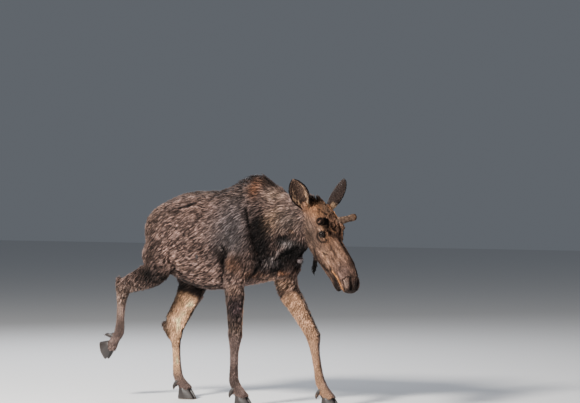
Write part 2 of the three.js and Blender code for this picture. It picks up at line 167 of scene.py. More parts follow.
FLOOR = 40  # half its width, in metres
floor_mesh = bpy.data.meshes.new("floor")
floor_mesh.from_pydata([(-FLOOR, -FLOOR, 0), (FLOOR, -FLOOR, 0), (FLOOR, FLOOR, 0),
                        (-FLOOR, FLOOR, 0)], [], [(0, 1, 2, 3)])
floor = bpy.data.objects.new("floor", floor_mesh)
bpy.context.scene.collection.objects.link(floor)

# %% [markdown]
# ## Arrays into meshes
#
# Every new piece is worked out as whole numpy arrays of corners and faces, in millimetres,
# and put into a mesh in one go. A piece's object stays at the origin, as the frame's nodes do.


# %% One helper for every mesh
def new_piece(name, corners, *face_sets):
    """A mesh object from an array of corners in millimetres and arrays of triangles or fours."""
    mesh = bpy.data.meshes.new(name)
    loops = np.concatenate([faces.ravel() for faces in face_sets]).astype(np.int32)
    sizes = np.concatenate([np.full(len(faces), faces.shape[1]) for faces in face_sets])
    mesh.vertices.add(len(corners))
    mesh.vertices.foreach_set("co", (corners * MM).astype(np.float32).ravel())
    mesh.loops.add(len(loops))
    mesh.loops.foreach_set("vertex_index", loops)
    mesh.polygons.add(len(sizes))
    mesh.polygons.foreach_set("loop_start", (np.cumsum(sizes) - sizes).astype(np.int32))
    mesh.update(calc_edges=True)
    mesh.shade_smooth()
    piece = bpy.data.objects.new(name, mesh)
    bpy.context.scene.collection.objects.link(piece)
    return piece


def read(layer, name, width, kind=float):
    """A mesh layer's values as an array."""
    values = np.zeros(len(layer) * width, kind)
    layer.foreach_get(name, values)
    return values.reshape(-1, width) if width > 1 else values


def unit(ways):
    """The same directions, one long."""
    return ways / np.maximum(np.linalg.norm(ways, axis=-1, keepdims=True), 1e-9)


def corner_normals(corners, triangles):
    """Each corner's normal: the mean of its triangles' normals, by their area."""
    a, b, c = (corners[triangles[:, k]] for k in range(3))
    areas = np.cross(b - a, c - a)
    columns = [np.bincount(triangles.ravel(), np.repeat(areas[:, axis], 3), len(corners))
               for axis in range(3)]
    return unit(np.stack(columns, axis=1))


def paint(piece, colours):
    """Keeps a linear colour at every corner, markings and painted light alike, in the attribute
    that the materials read.
    """
    layer = piece.data.color_attributes.new("marking_and_painted_light", "FLOAT_COLOR", "POINT")
    with_alpha = np.c_[colours, np.ones(len(colours))].astype(np.float32)
    layer.data.foreach_set("color", with_alpha.ravel())


# %% A tube through a table of stations
def through(table, count):
    """A smooth curve through the rows of a table: the Catmull-Rom formula, at `count` places."""
    table = np.asarray(table, float)
    place = np.linspace(0, len(table) - 1, count)
    first = np.minimum(place.astype(int), len(table) - 2)
    share = (place - first)[:, None]
    longer = np.vstack([2 * table[0] - table[1], table, 2 * table[-1] - table[-2]])
    p, q, r, s = (longer[first + k] for k in range(4))
    return 0.5 * (2 * q + (r - p) * share + (2 * p - 5 * q + 4 * r - s) * share ** 2
                  + (3 * q - p - 3 * r + s) * share ** 3)


def as_triangles(sides, ends):
    """A shell's faces of four corners cut in two, with its ends."""
    return np.vstack([sides[:, [0, 1, 2]], sides[:, [0, 2, 3]], ends])


def grid_shell(rows):
    """Corners and faces of a closed shell from rings of corners, with a point at either end."""
    count, around = rows.shape[:2]
    corner = np.arange(count * around).reshape(count, around)
    after = np.roll(corner, -1, axis=1)
    sides = np.stack([corner[:-1], after[:-1], after[1:], corner[1:]], axis=-1).reshape(-1, 4)
    start, end = count * around, count * around + 1
    ends = np.vstack([np.stack([after[0], corner[0], np.full(around, start)], axis=-1),
                      np.stack([corner[-1], after[-1], np.full(around, end)], axis=-1)])
    corners = np.vstack([rows.reshape(-1, 3), rows[0].mean(0), rows[-1].mean(0)])
    fan = as_triangles(sides, ends)
    a, b, c = (corners[fan[:, k]] for k in range(3))
    if np.sum(a * np.cross(b, c)) < 0:
        return corners, sides[:, ::-1], ends[:, ::-1]
    return corners, sides, ends


def tube_rows(stations, around, count, left=(0, 1, 0)):
    """Rings along a path. A station is x, y, z, then how far the ring reaches up, down and
    sideways from there; each ring lies across the path, as two half ellipses."""
    table = through(stations, count)
    path = table[:, :3]
    left = np.asarray(left, float)
    up = unit(np.cross(np.gradient(path, axis=0), left))
    turn = np.linspace(0, 2 * np.pi, around, endpoint=False)
    sideways = table[:, 5, None] * np.cos(turn)
    rise = np.where(np.sin(turn) > 0, table[:, 3, None], table[:, 4, None]) * np.sin(turn)
    return path[:, None] + sideways[..., None] * left + rise[..., None] * up[:, None]


def ball_rows(count, around):
    """Rings of a ball one in radius, from pole to pole along its first axis."""
    down = np.linspace(0.02, np.pi - 0.02, count)[:, None]
    turn = np.linspace(0, 2 * np.pi, around, endpoint=False)[None]
    return np.stack([np.cos(down) + 0 * turn, np.sin(down) * np.cos(turn),
                     np.sin(down) * np.sin(turn)], axis=-1)


print("helpers are ready")

# %% [markdown]
# ## The mannequin becomes one skin
#
# The solids of flesh were parted with thin cuts, and the skin has none. So copies of them are
# swollen until the cuts close, joined, and remeshed on a grid of small cubes, which keeps
# only the outside. Eyes, antlers and dewclaws are joined in to fill their sockets, and a ball
# of muscle goes under each ear. The facets then go by blurring, in pairs of steps that shrink
# and swell by turns, so that the form keeps its size.

# %% Join and remesh
CELL = 12.0  # edge of the grid of cubes
SWELL = 1.2  # closes the cuts, which are 1 mm wide
REGIONS = ("trunk", "neck", "head", "thigh", "shin", "tail", "bell")
TRUNK, NECK, HEAD, THIGH, SHIN, TAIL, BELL = range(7)
REGION_WORDS = {"eye": "head", "antler": "head", "forearm": "thigh", "gaskin": "thigh",
                "cannon": "shin", "pastern": "shin", "dewclaw": "shin"}
EARS = {  # root, reach from there to the tip, and opening of each, in the head's frame
    "left": ((0, 112, -90), (-202, 150, 122), (0.58, 0.8, -0.16)),
    "right": ((-12, -92, -118), (-206, -148, 106), (0.35, -0.75, 0.55)),
}


def region_of(node):
    """The place in REGIONS of the flesh that a node belongs to."""
    found = [region for word, region in REGION_WORDS.items() if word in node]
    return REGIONS.index(found[0] if found else node)


def merged_copy(node):
    """A node's corners and triangles, with corners at one place made one."""
    mesh = nodes[node].data
    places = read(mesh.vertices, "co", 3) / MM
    loops = read(mesh.loops, "vertex_index", 1, int)
    _, first, same = np.unique(np.round(places, 2), axis=0, return_index=True, return_inverse=True)
    return places[first], same.ravel()[loops].reshape(-1, 3)


def joined(parts):
    """Corners, triangles and region of several closed shells as one."""
    starts = np.cumsum([0] + [len(corners) for corners, _, _ in parts])
    return (np.vstack([corners for corners, _, _ in parts]),
            np.vstack([faces + start for (_, faces, _), start in zip(parts, starts)]),
            np.concatenate([np.full(len(corners), region) for corners, _, region in parts]))


filled = [n for n in nodes if "hoof" not in n and not n.startswith("ear")]
parts = []
for node in filled:
    corners, triangles = merged_copy(node)
    corners = corners + SWELL * corner_normals(corners, triangles)
    parts.append((corners, triangles, region_of(node)))
for root, reach, _ in EARS.values():
    rows = ball_rows(10, 14) * [52, 36, 40]
    along = unit(np.array(reach, float))
    across = unit(np.cross(along, [0, 0, 1.0]))
    rows = rows @ np.array([along, across, np.cross(along, across)]) + root + along * 12
    corners, sides, ends = grid_shell(from_head(rows))
    parts.append((corners, as_triangles(sides, ends), HEAD))

corners, triangles, region = joined(parts)
skin = new_piece("skin", corners, triangles)
layer = skin.data.attributes.new("region", "INT", "POINT")
layer.data.foreach_set("value", region.astype(np.int32))
skin.data.remesh_voxel_size = CELL * MM
skin.data.use_remesh_preserve_attributes = True
with bpy.context.temp_override(active_object=skin, object=skin, selected_objects=[skin]):
    bpy.ops.object.voxel_remesh()
print("remeshed to", len(skin.data.polygons), "faces")


# %% Blur the facets away
def blurred(values, pairs, steps):
    """Each step moves every value that share of the way to the mean of its neighbours."""
    size = len(values)
    count = np.bincount(pairs.ravel(), minlength=size)
    for share in steps:
        totals = [np.bincount(pairs[:, 0], column[pairs[:, 1]], size)
                  + np.bincount(pairs[:, 1], column[pairs[:, 0]], size) for column in values.T]
        values = values + share * (np.stack(totals, axis=1) / count[:, None] - values)
    return values


SHRINK_AND_SWELL = [0.5, -0.52]
mesh = skin.data
places = read(mesh.vertices, "co", 3) / MM
pairs = read(mesh.edges, "vertices", 2, int)
region = read(mesh.attributes["region"].data, "value", 1, int)
places = blurred(places, pairs, SHRINK_AND_SWELL * 18)
shares = blurred(np.eye(len(REGIONS))[region], pairs, [0.5] * 14)
mesh.vertices.foreach_set("co", (places * MM).ravel())
for name, share in zip(REGIONS, shares.T):
    layer = mesh.attributes.new("is_" + name, "FLOAT", "POINT")
    layer.data.foreach_set("value", share.astype(np.float32))
print("regions:", dict(zip(REGIONS, np.round(shares.mean(0), 3))))

# %% [markdown]
# ## A finer skin where the face has detail
#
# Eyelids, nostrils, the mouth and the furrows of the brow are a few millimetres across, and the
# trunk needs nothing so fine. Halving the edges only where they are needed keeps the skin
# well under the size where its file would be thinned.


# %% Halve the edges of the head, and again round the eyes, muzzle and brow
def face_places(places):
    """The head's frame with its right half folded onto the left, and the side as a sign."""
    head = to_head(places)
    return fold(head), np.where(head[:, 1] < 0, -1.0, 1.0)


def halve(mesh, chosen):
    """Cuts in two every edge between chosen corners."""
    work = bmesh.new()
    work.from_mesh(mesh)
    edges = [e for e in work.edges if chosen[e.verts[0].index] and chosen[e.verts[1].index]]
    bmesh.ops.subdivide_edges(work, edges=edges, cuts=1, use_grid_fill=True)
    bmesh.ops.triangulate(work, faces=[face for face in work.faces if len(face.verts) > 4])
    work.to_mesh(mesh)
    work.free()


def is_head(mesh):
    """Corners that are mostly head."""
    return read(mesh.attributes["is_head"].data, "value", 1) > 0.55


halve(mesh, is_head(mesh))
face, _ = face_places(read(mesh.vertices, "co", 3) / MM)
near_eye = np.linalg.norm(face - EYE_PLACE, axis=1) < 56
near_mouth = (face[:, 0] > 600) | ((face[:, 0] > 480) & (np.abs(face[:, 2] + 95) < 45))
near_brow = (face[:, 0] > 30) & (face[:, 0] < 265) & (face[:, 1] < 66) & (face[:, 2] > -24)
halve(mesh, is_head(mesh) & (near_eye | near_mouth | near_brow))

work = bmesh.new()
work.from_mesh(mesh)
bmesh.ops.triangulate(work, faces=work.faces)
work.to_mesh(mesh)
work.free()

places = read(mesh.vertices, "co", 3) / MM
pairs = read(mesh.edges, "vertices", 2, int)
triangles = read(mesh.loops, "vertex_index", 1, int).reshape(-1, 3)
shares = np.stack([read(mesh.attributes["is_" + name].data, "value", 1)
                   for name in REGIONS], axis=1)
places = blurred(places, pairs, SHRINK_AND_SWELL * 3)
print("the skin has", len(triangles), "triangles")

# %% [markdown]
# ## The skin lies under the coat
#
# The solids reach the tips of the hair, so the skin goes in by the depth of the coat: about
# 23 mm along the mane, 9 mm on the flank, and 3 mm on the face and shins. Then come the forms
# that a moose shows through its coat: the edge of the shoulder blade, the fold of the flank,
# and the grooves between muscles. Many places in the tables of lines, here and on the face,
# were found on the solids by a helper program, and aren't worked out in this lesson.


# %% Coat depth
def bump(distance, width):
    """One at distance nought, falling as a bell curve of that width."""
    return np.exp(-(distance / width) ** 2)


def ease(low, high, value):
    """Nought below low, one above high, and a smooth S between."""
    share = np.clip((value - low) / (high - low), 0, 1)
    return share * share * (3 - 2 * share)


def lumps(places, size, high):
    """A low relief: the product of sines along three slanted ways."""
    turned = places / size @ np.array([[0.8, 0.5, 0.33], [-0.5, 0.83, 0.2], [-0.3, -0.2, 0.93]])
    return high * np.prod(np.sin(turned + np.sin(2.1 * turned[..., ::-1])), axis=-1)


def along_line(places, line):
    """How far each place is from a line through the given corners."""
    best = np.full(len(places), np.inf)
    for start, end in zip(np.array(line[:-1], float), np.array(line[1:], float)):
        step = end - start
        share = np.clip((places - start) @ step / (step @ step), 0, 1)
        best = np.minimum(best, np.linalg.norm(places - start - share[:, None] * step, axis=1))
    return best


MANE = [(-250, 0, 1730), (60, 0, 1800), (190, 0, 1850), (330, 0, 1830), (440, 0, 1765),
        (560, 0, 1735), (680, 10, 1700), (790, 34, 1660), (850, 48, 1620)]  # from loin to crown
COAT_DEPTH = np.array([9.0, 9.0, 3.0, 6.5, 3.5, 8.0, 7.0])  # of each region
MANE_DEPTH = 14.0  # more than that along the ridge

normals = corner_normals(places, triangles)
folded = fold(places)
mane = bump(along_line(folded, MANE), 95) * (1 - shares[:, HEAD] * 0.6)
depth = shares @ COAT_DEPTH + MANE_DEPTH * mane
places = places - normals * depth[:, None]
print("coat depth from", round(depth.min(), 1), "to", round(depth.max(), 1), "mm")

# %% Muscles and folds of the body
CREASE = [(242, 173, 1569), (265, 185, 1522), (284, 198, 1472), (322, 218, 1382),
          (352, 231, 1293), (371, 225, 1240), (402, 177, 1149)]  # in front of the shoulder
ELBOW = [(95, 250, 1215), (65, 237, 1144), (43, 215, 1080), (-2, 160, 998)]
ARMPIT = [(385, 196, 1110), (340, 201, 1062), (277, 180, 1005), (200, 110, 975)]
BRISKET = [(495, 135, 1165), (563, 111, 1204), (612, 99, 1223), (680, 85, 1262)]
BODY_LINES = [  # the line on the folded side, width, and depth; a ridge is less than nought
    (CREASE, 17, 17),
    (CREASE, 60, 10),
    ([(165, 200, 1514), (175, 231, 1412), (190, 240, 1300)], 60, -10),
    (ELBOW, 16, 13),
    ([(110, 235, 1240), (90, 245, 1290), (70, 250, 1360)], 30, 7),
    (ARMPIT, 15, 14),
    ([(250, 240, 1180), (300, 235, 1120), (330, 214, 1086)], 34, -8),
    ([(150, 235, 1220), (140, 235, 1080)], 45, -6),
    (BRISKET, 20, 13),
    ([(533, 128, 1222), (598, 127, 1277), (677, 116, 1313)], 26, -9),
    ([(362, 137, 1084), (447, 147, 1149), (513, 130, 1186)], 30, -8),
    ([(555, 153, 1345), (579, 147, 1322), (600, 137, 1307)], 20, 10),
    ([(466, 95, 1069), (492, 91, 1078), (512, 80, 1086)], 20, 10),
    ([(324, 179, 1515), (366, 197, 1414), (393, 208, 1321), (417, 201, 1243)], 34, 5),
    ([(-471, 242, 1189), (-467, 221, 1133), (-442, 188, 1068), (-397, 168, 1028)], 18, 13),
    ([(-430, 250, 1180), (-400, 240, 1110), (-330, 223, 1060)], 30, -6),
    ([(-640, 225, 1230), (-720, 195, 1120), (-800, 190, 1050)], 34, -5),
    ([(-600, 240, 1400), (-640, 220, 1280)], 40, 6),
    ([(-514, 240, 1429), (-560, 250, 1330)], 60, -7),
    ([(-880, 205, 935), (-955, 181, 880), (-989, 178, 815)], 14, 6),
]
push = np.zeros(len(places))
for line, width, deep in BODY_LINES:
    push -= deep * bump(along_line(folded, line), width)
push *= 1 - shares[:, HEAD]
places = places + normals * push[:, None]
print("body relief from", round(push.min(), 1), "to", round(push.max(), 1), "mm")

# %% [markdown]
# ## The face
#
# The face is where a visitor looks first. An eye is seated by giving every corner near it a
# distance from the eye's middle: less than the eyeball inside the opening, so that the skin
# goes behind it, and a little more around it, so that two lids close over it. The mouth,
# nostrils and furrows are grooves along lines, and the lower lip is drawn in under the upper.

# %% Eye sockets and lids
EYE_OUT = unit(np.array([0.24, 0.86, 0.42]))  # which way the left eye looks
EYE_LONG = unit(np.array([1.0, 0.0, -0.3]) - EYE_OUT * (EYE_OUT @ [1.0, 0.0, -0.3]))
EYE_UP = np.cross(EYE_LONG, EYE_OUT)
LID_LONG, LID_TALL = 0.92, 0.88  # half the opening, as shares of the eyeball
LID_CURVE = 1.7  # below two, the corners of the opening are pointed
LID_OVER, SKIN_BEHIND = 3.2, 3.0


def eye_opening(ways):
    """Below one inside the opening between the lids, for directions from the eye's middle."""
    long, tall = ways @ EYE_LONG / LID_LONG, ways @ EYE_UP / LID_TALL
    return np.abs(long) ** LID_CURVE + tall ** 2


face, sign = face_places(places)
from_eye = face - EYE_PLACE
far = np.linalg.norm(from_eye, axis=1)
ways = from_eye / far[:, None]
outward = ways @ EYE_OUT
opening = np.where(outward > 0, eye_opening(ways), 9)
wanted = EYE_RADIUS + LID_OVER - (LID_OVER + SKIN_BEHIND) * ease(1.15, 0.9, opening)
held = ease(2.6, 1.3, opening) * (far < 60)
held = np.where(far < wanted, np.maximum(held, ease(-0.5, 0.0, outward)), held)
face = EYE_PLACE + ways * (far + (wanted - far) * held)[:, None]
print("the skin moved round the eyes by up to", round(np.abs((wanted - far) * held).max(), 1), "mm")

# %% Mouth, nostrils and furrows
MOUTH = [(505, 56, -116), (521, 60, -111), (574, 62, -95), (612, 68, -80), (647, 72, -69),
         (684, 68, -62), (704, 60, -60), (722, 38, -64), (728, 0, -66)]
LIP = [(522, 64, -95), (550, 66, -81), (590, 71, -61), (623, 74, -50), (656, 74, -48),
       (690, 68, -46), (708, 56, -50)]
NOSTRIL = [(640, 46, 40), (645, 40, 36), (668, 36, 32), (694, 32, 20), (712, 32, 2)]
GROOVE = [(628, 54, 34), (623, 62, 24), (632, 74, -8), (668, 76, -21), (706, 66, -33)]
UNDER_EYE = [(206, 102, -76), (232, 104, -100), (258, 98, -98), (280, 88, -83), (294, 84, -56),
             (288, 96, -26)]
FURROWS = [  # on the forehead, not folded: line, width, and depth
    ([(29, -59, -15), (61, -51, 1), (91, -39, 11)], 7, 8),
    ([(-12, 20, -24), (20, 40, -10), (60, 54, 2), (109, 59, 9), (153, 59, 14)], 7, 7),
    ([(60, 74, -8), (110, 78, 0), (150, 74, 8)], 10, -5),
    ([(124, -38, 17), (99, -12, 16), (86, 18, 13)], 6, -5),
    ([(110, -20, 16), (96, 6, 14)], 6, 3),
    ([(170, -10, 18), (179, -17, 18), (208, -22, 14), (230, 7, 9)], 6, 8),
    ([(150, 24, 19), (161, 20, 19), (191, 18, 16), (213, -5, 13)], 6, 7),
    ([(180, 0, 18), (205, 0, 14)], 5, -4),
    ([(199, -46, 10), (223, -35, 8), (246, 3, 6)], 7, -5),
    ([(150, -58, 12), (181, -57, 11), (217, -72, 11), (247, -50, -4)], 8, 9),
    ([(150, 62, 12), (190, 60, 10), (225, 66, 8), (250, 52, -4)], 8, 7),
    ([(262, -40, -2), (300, -30, -10), (330, -20, -8)], 12, 3),
]
FACE_LINES = [  # the line on the folded head, width, and depth; a ridge is less than nought
    (MOUTH, 5, 9),
    (LIP, 7, -3),
    (NOSTRIL, 11, 15),
    (GROOVE, 6, 7),
    ([(650, 66, 8), (672, 64, 6), (696, 54, -8)], 13, -6),
    (UNDER_EYE, 7, 7),
    ([(228, 110, -68), (254, 108, -70), (274, 104, -54)], 6, -3),
    ([(345, 80, -119), (370, 78, -98), (383, 76, -73)], 6, 4),
    ([(377, 76, -123), (417, 72, -110), (458, 69, -94), (516, 68, -75)], 11, -5),
    ([(300, 88, -84), (332, 76, -140), (400, 70, -140), (470, 62, -128)], 12, 5),
    ([(297, 53, -13), (352, 52, -3), (423, 58, 5), (520, 46, 30)], 22, -5),
    ([(560, 60, 20), (600, 56, 24)], 20, 4),
    ([(148, 105, -77), (179, 104, -117), (226, 95, -163)], 24, 5),
    ([(230, 90, -150), (300, 80, -190), (380, 60, -200)], 26, 5),
    ([(355, 72, -179), (412, 65, -165), (479, 55, -148)], 14, -3),
]
push = np.zeros(len(face))
for line, width, deep in FACE_LINES:
    push -= deep * bump(along_line(face, line), width)
for line, width, deep in FURROWS:
    push -= deep * bump(along_line(to_head(places), line), width)
push += lumps(face, 9, 1.1) * ease(-60, 0, face[:, 2]) * ease(330, 250, face[:, 0])
mouth_height = np.interp(face[:, 0], [x for x, _, _ in MOUTH], [z for _, _, z in MOUTH])
under_lip = ease(1, 12, mouth_height - face[:, 2]) * ease(500, 580, face[:, 0])
face[:, 1] *= 1 - 0.22 * under_lip
face[:, 0] -= 16 * under_lip * ease(680, 715, face[:, 0])

is_face = shares[:, HEAD]
moved = from_head(face * np.stack([np.ones(len(face)), sign, np.ones(len(face))], axis=1))
places = places + (moved + normals * push[:, None] - places) * ease(0.3, 0.7, is_face)[:, None]
mesh.vertices.foreach_set("co", (places * MM).ravel())
mesh.update()
normals = corner_normals(places, triangles)
print("face relief from", round(push.min(), 1), "to", round(push.max(), 1), "mm")

# %% [markdown]
# ## Markings
#
# A moose is umber brown, darker along the back, belly and neck, with pale grey-brown inner legs.
# This one is wet, so hair lies in dark locks with lighter tips. One function gives the colour of
# any place on the skin, and both the skin and each tuft ask it, so that they carry the same
# markings. It starts from the flank's brown and lays soft patches over it. Many of these patches
# and strokes are painted light: painted shade in the creases, folds, grooves and furrows, under the
# chest, belly and jaw, round the eyes and on the front of the muzzle, and painted highlights on
# ridges and on the wet shoulder and chest. The dark of the back and belly is partly the moose's own
# colour and partly painted shade. Many of the places in these tables, too, were found on the solids
# by a helper program.

# %% The coat's colours
UMBER = "#62504a"
BODY_PATCHES = [  # colour, how strong, middle on the folded side, and reach along x, y and z
    # Dark along the back: partly the moose's own darker back, partly painted shade along the top.
    ("#1a1513", 1.0, (-350, 0, 1790), (460, 220, 150)),
    ("#7c645b", 0.7, (-250, 190, 1580), (110, 120, 60)),
    ("#3a302b", 0.7, (-206, 100, 1690), (150, 110, 50)),
    ("#54443e", 0.5, (-170, 283, 1275), (80, 90, 80)),
    ("#54443c", 0.6, (-720, 60, 1500), (160, 200, 200)),
    ("#0a0808", 1.0, (200, 0, 1860), (300, 160, 115)),
    ("#0d0a0a", 1.0, (520, 0, 1775), (260, 56, 38)),
    ("#2c201a", 0.8, (250, 80, 1775), (110, 100, 54)),
    ("#5a3b29", 0.9, (262, 110, 1695), (44, 110, 60)),
    ("#3e3430", 0.9, (120, 190, 1640), (120, 120, 90)),
    # Grey on the shoulder and upper arm: dark hair lightened by a painted wet sheen.
    ("#5a5252", 0.9, (150, 250, 1420), (140, 130, 210)),
    ("#4b4545", 0.85, (150, 250, 1230), (130, 120, 150)),
    # Near black in front of the shoulder: painted shade in its crease.
    ("#161110", 1.0, (345, 200, 1430), (60, 110, 140)),
    ("#050404", 1.0, (410, 195, 1380), (70, 110, 150)),
    ("#0b0808", 1.0, (400, 205, 1260), (70, 110, 100)),
    ("#78614f", 0.85, (500, 150, 1480), (60, 110, 70)),
    ("#5d504a", 0.8, (610, 130, 1470), (120, 110, 90)),
    # Near black low on the neck, on the front of the chest and under it: the chest's dark hair,
    # with painted shade in the groove and under the chest.
    ("#0b0808", 1.0, (570, 140, 1320), (70, 60, 42)),
    ("#0f0c0c", 1.0, (650, 60, 1215), (170, 130, 90)),
    ("#151110", 0.95, (450, 110, 1130), (160, 140, 80)),
    # Pale and mid grey on the chest: painted highlights of wet hair.
    ("#6a6362", 0.8, (626, 118, 1283), (60, 50, 26)),
    ("#433d3d", 0.8, (440, 145, 1145), (80, 60, 34)),
    ("#4e3a30", 0.9, (160, 240, 1120), (110, 110, 80)),
    ("#5d4232", 0.8, (320, 190, 1030), (60, 100, 30)),
    ("#654531", 0.7, (500, 60, 1052), (22, 60, 22)),
    ("#a78873", 1.0, (405, 80, 955), (70, 90, 45)),
    # Near black under the belly: partly the dark belly, partly painted shade underneath.
    ("#0a0808", 0.9, (-150, 0, 858), (480, 150, 52)),
    ("#54443e", 0.6, (-170, 225, 1050), (90, 90, 50)),
    ("#1c1614", 0.95, (-640, 200, 1020), (170, 130, 90)),
    ("#342b28", 0.4, (-650, 230, 1230), (70, 130, 150)),
    # Dark where the belly meets the hind leg: painted shade.
    ("#171210", 0.9, (-430, 120, 930), (120, 120, 90)),
    ("#9c8275", 0.8, (-1040, 190, 760), (46, 60, 90)),
    # Dark high on the inside of the hind leg: the belly's shadow, painted on.
    ("#1c1614", 1.0, (-650, 130, 910), (80, 90, 50)),
    ("#33292a", 1.0, (165, 200, 780), (60, 50, 100)),
    ("#6f5a50", 0.7, (158, 230, 926), (40, 50, 44)),
    ("#7d695b", 0.5, (457, 84, 1668), (80, 60, 44)),
]
BODY_STROKES = [  # colour, strength, line on the folded side, and width
    # The near-black strokes are painted shade: in the crease in front of the shoulder, behind the
    # elbow and upper arm, under the belly, in the armpit, along the brisket and in the fold of the
    # flank.
    ("#060505", 1.0, CREASE, 22),
    ("#060505", 1.0, ELBOW, 24),
    ("#0b0908", 0.9, [(68, 258, 1262), (64, 254, 1207), (58, 238, 1144), (66, 224, 1065)], 24),
    ("#0d0a09", 0.85, [(-330, 92, 950), (-187, 98, 935), (-72, 118, 955)], 24),
    ("#060505", 1.0, ARMPIT, 24),
    ("#070606", 1.0, BRISKET, 30),
    ("#070606", 0.9, [(466, 95, 1069), (492, 91, 1078), (512, 80, 1086)], 26),
    ("#0f0b0a", 0.9, [(-471, 242, 1189), (-467, 221, 1133), (-442, 188, 1068)], 20),
    ("#0f0b0a", 0.9, [(-442, 188, 1068), (-397, 168, 1028)], 26),
    # A painted highlight along the ridge behind the flank's fold.
    ("#80685b", 0.3, [(-430, 245, 1180), (-400, 238, 1110), (-330, 223, 1060)], 20),
    # Painted shade behind the elbow.
    ("#171210", 0.8, [(18, 267, 1222), (41, 257, 1183), (56, 239, 1144)], 20),
    # Pale grey along the ridges of the brisket: painted highlights of wet hair.
    ("#685e5c", 0.6, [(362, 137, 1084), (447, 147, 1149), (500, 132, 1180)], 16),
    ("#6d605d", 0.55, [(510, 133, 1205), (560, 130, 1250), (598, 127, 1277)], 14),
]
RIGHT_MARKS = [  # the same, on the right side alone
    ("#120d0c", 1.0, [(-406, -208, 1558), (-331, -201, 1582), (-261, -187, 1606)], 22),
    ("#060505", 0.9, [(628, -150, 1372), (640, -146, 1366)], 14),
    ("#8a6a55", 0.7, [(640, -142, 1392), (652, -140, 1386), (660, -138, 1374)], 8),
]
INNER_HIND = [(-535, 100, 830), (-640, 100, 640), (-680, 110, 300)]  # pale inside of the shin
HEAD_PATCHES = [  # the same as the body's, in the head's frame
    ("#050506", 1.0, (-84, 0, -44), (86, 90, 84)),
    ("#7b563c", 0.9, (60, 60, -20), (100, 60, 50)),
    ("#5a4638", 0.9, (50, 0, 0), (120, 60, 60)),
    ("#7a5a47", 0.9, (195, 20, 6), (80, 50, 50)),
    ("#c99a78", 0.9, (223, 125, -1), (30, 26, 14)),
    ("#ab8973", 0.8, (190, 106, -46), (18, 16, 16)),
    ("#a17455", 0.8, (290, 76, -12), (50, 36, 40)),
    ("#a67553", 0.8, (24, 96, -70), (60, 50, 60)),
    ("#826351", 0.8, (400, 40, 0), (170, 60, 70)),
    ("#665048", 0.9, (590, 50, 10), (80, 90, 60)),
    # Dark on the front of the muzzle: painted shade.
    ("#352c28", 0.9, (730, 20, -30), (34, 80, 60)),
    # Light on the wing of the nostril, which is a ridge: a painted highlight.
    ("#937a6e", 0.9, (670, 68, 8), (30, 18, 24)),
    # Dark on the front of the muzzle: painted shade.
    ("#3d312c", 1.0, (690, 0, 26), (44, 36, 40)),
    ("#6b574d", 0.8, (120, 100, -170), (140, 80, 90)),
    ("#5a4940", 0.8, (127, 113, -124), (44, 40, 34)),
    ("#4a3b33", 0.9, (190, 103, -175), (64, 50, 40)),
    ("#a17e69", 0.8, (432, 70, -118), (60, 40, 22)),
    # Dark under the jaw: partly dark hair, partly painted shade underneath.
    ("#302622", 0.9, (250, 20, -290), (280, 90, 70)),
    # Dark on the chin: partly dark hair, partly painted shade under the overhanging upper lip.
    ("#211916", 1.0, (640, 30, -130), (110, 80, 48)),
]
HEAD_BASE = "#664f43"
FACE_STROKES = [  # colour, strength, line on the folded head, and width
    # Tan along the lip: partly the lip's own pale hair, partly a painted highlight on its ridge.
    ("#d1925f", 1.0, LIP, 6),
    ("#080504", 1.0, MOUTH, 8),
    ("#050303", 1.0, NOSTRIL, 15),
    # Painted shade in the groove between lip and nostril.
    ("#120c0a", 1.0, GROOVE, 7),
    # Painted shade in the fold under the eye.
    ("#0a0605", 1.0, UNDER_EYE, 9),
    ("#a88876", 0.8, [(228, 110, -68), (254, 108, -70), (274, 104, -54)], 6),
    # A groove on the cheek: painted shade along its lower edge, then a painted highlight along its
    # upper edge.
    ("#160e0b", 0.8, [(349, 80, -125), (374, 78, -106), (387, 76, -80)], 6),
    ("#b58f73", 0.6, [(345, 80, -113), (370, 78, -92), (383, 76, -67)], 5),
    # Painted highlights along the crests and ridges of the cheek.
    ("#ad8265", 0.7, [(330, 84, -150), (350, 82, -128), (372, 78, -121)], 5),
    ("#b98d6d", 0.7, [(377, 76, -118), (417, 72, -105), (440, 70, -97)], 5),
    ("#a97f62", 0.6, [(470, 68, -90), (516, 68, -78)], 6),
    # Painted shade below the cheek's ridge and along the underside of the jaw.
    ("#1c1310", 0.8, [(377, 76, -134), (417, 72, -122), (458, 66, -108), (505, 60, -98)], 8),
    ("#2b1f19", 0.6, [(355, 72, -190), (412, 65, -178), (479, 55, -160)], 22),
    ("#1c1310", 0.9, [(295, 78, -198), (363, 50, -226), (442, 50, -184), (501, 54, -150)], 16),
    ("#2b1d16", 0.7, [(300, 92, -30), (340, 80, -20), (420, 70, -10)], 14),
]
BROW_STROKES = [  # the same on the forehead, not folded
    # Near-black strokes in the furrows are painted shade, and light strokes along the ridges
    # between them are painted highlights.
    ("#080504", 1.0, FURROWS[0][0], 10),
    ("#080504", 1.0, FURROWS[1][0], 8),
    # Tan over the ridge above the eye: partly tan hair, partly a painted highlight.
    ("#c08a5c", 0.8, [(20, 62, -20), (60, 72, -10), (110, 78, 0), (150, 76, 8)], 9),
    ("#94684a", 0.4, FURROWS[3][0], 5),
    ("#120a07", 0.7, FURROWS[4][0], 5),
    ("#080504", 1.0, FURROWS[5][0], 9),
    ("#080504", 1.0, FURROWS[6][0], 7),
    ("#a2755a", 0.5, FURROWS[7][0], 5),
    ("#a87a58", 0.8, FURROWS[8][0], 7),
    ("#060403", 1.0, FURROWS[9][0], 10),
    ("#0c0806", 1.0, FURROWS[10][0], 8),
    # Painted shade on the far side of the nose's bridge.
    ("#120c0a", 0.95, [(300, 20, 30), (413, 14, 36), (458, 26, 43), (530, 38, 49),
                       (598, 46, 48)], 20),
]


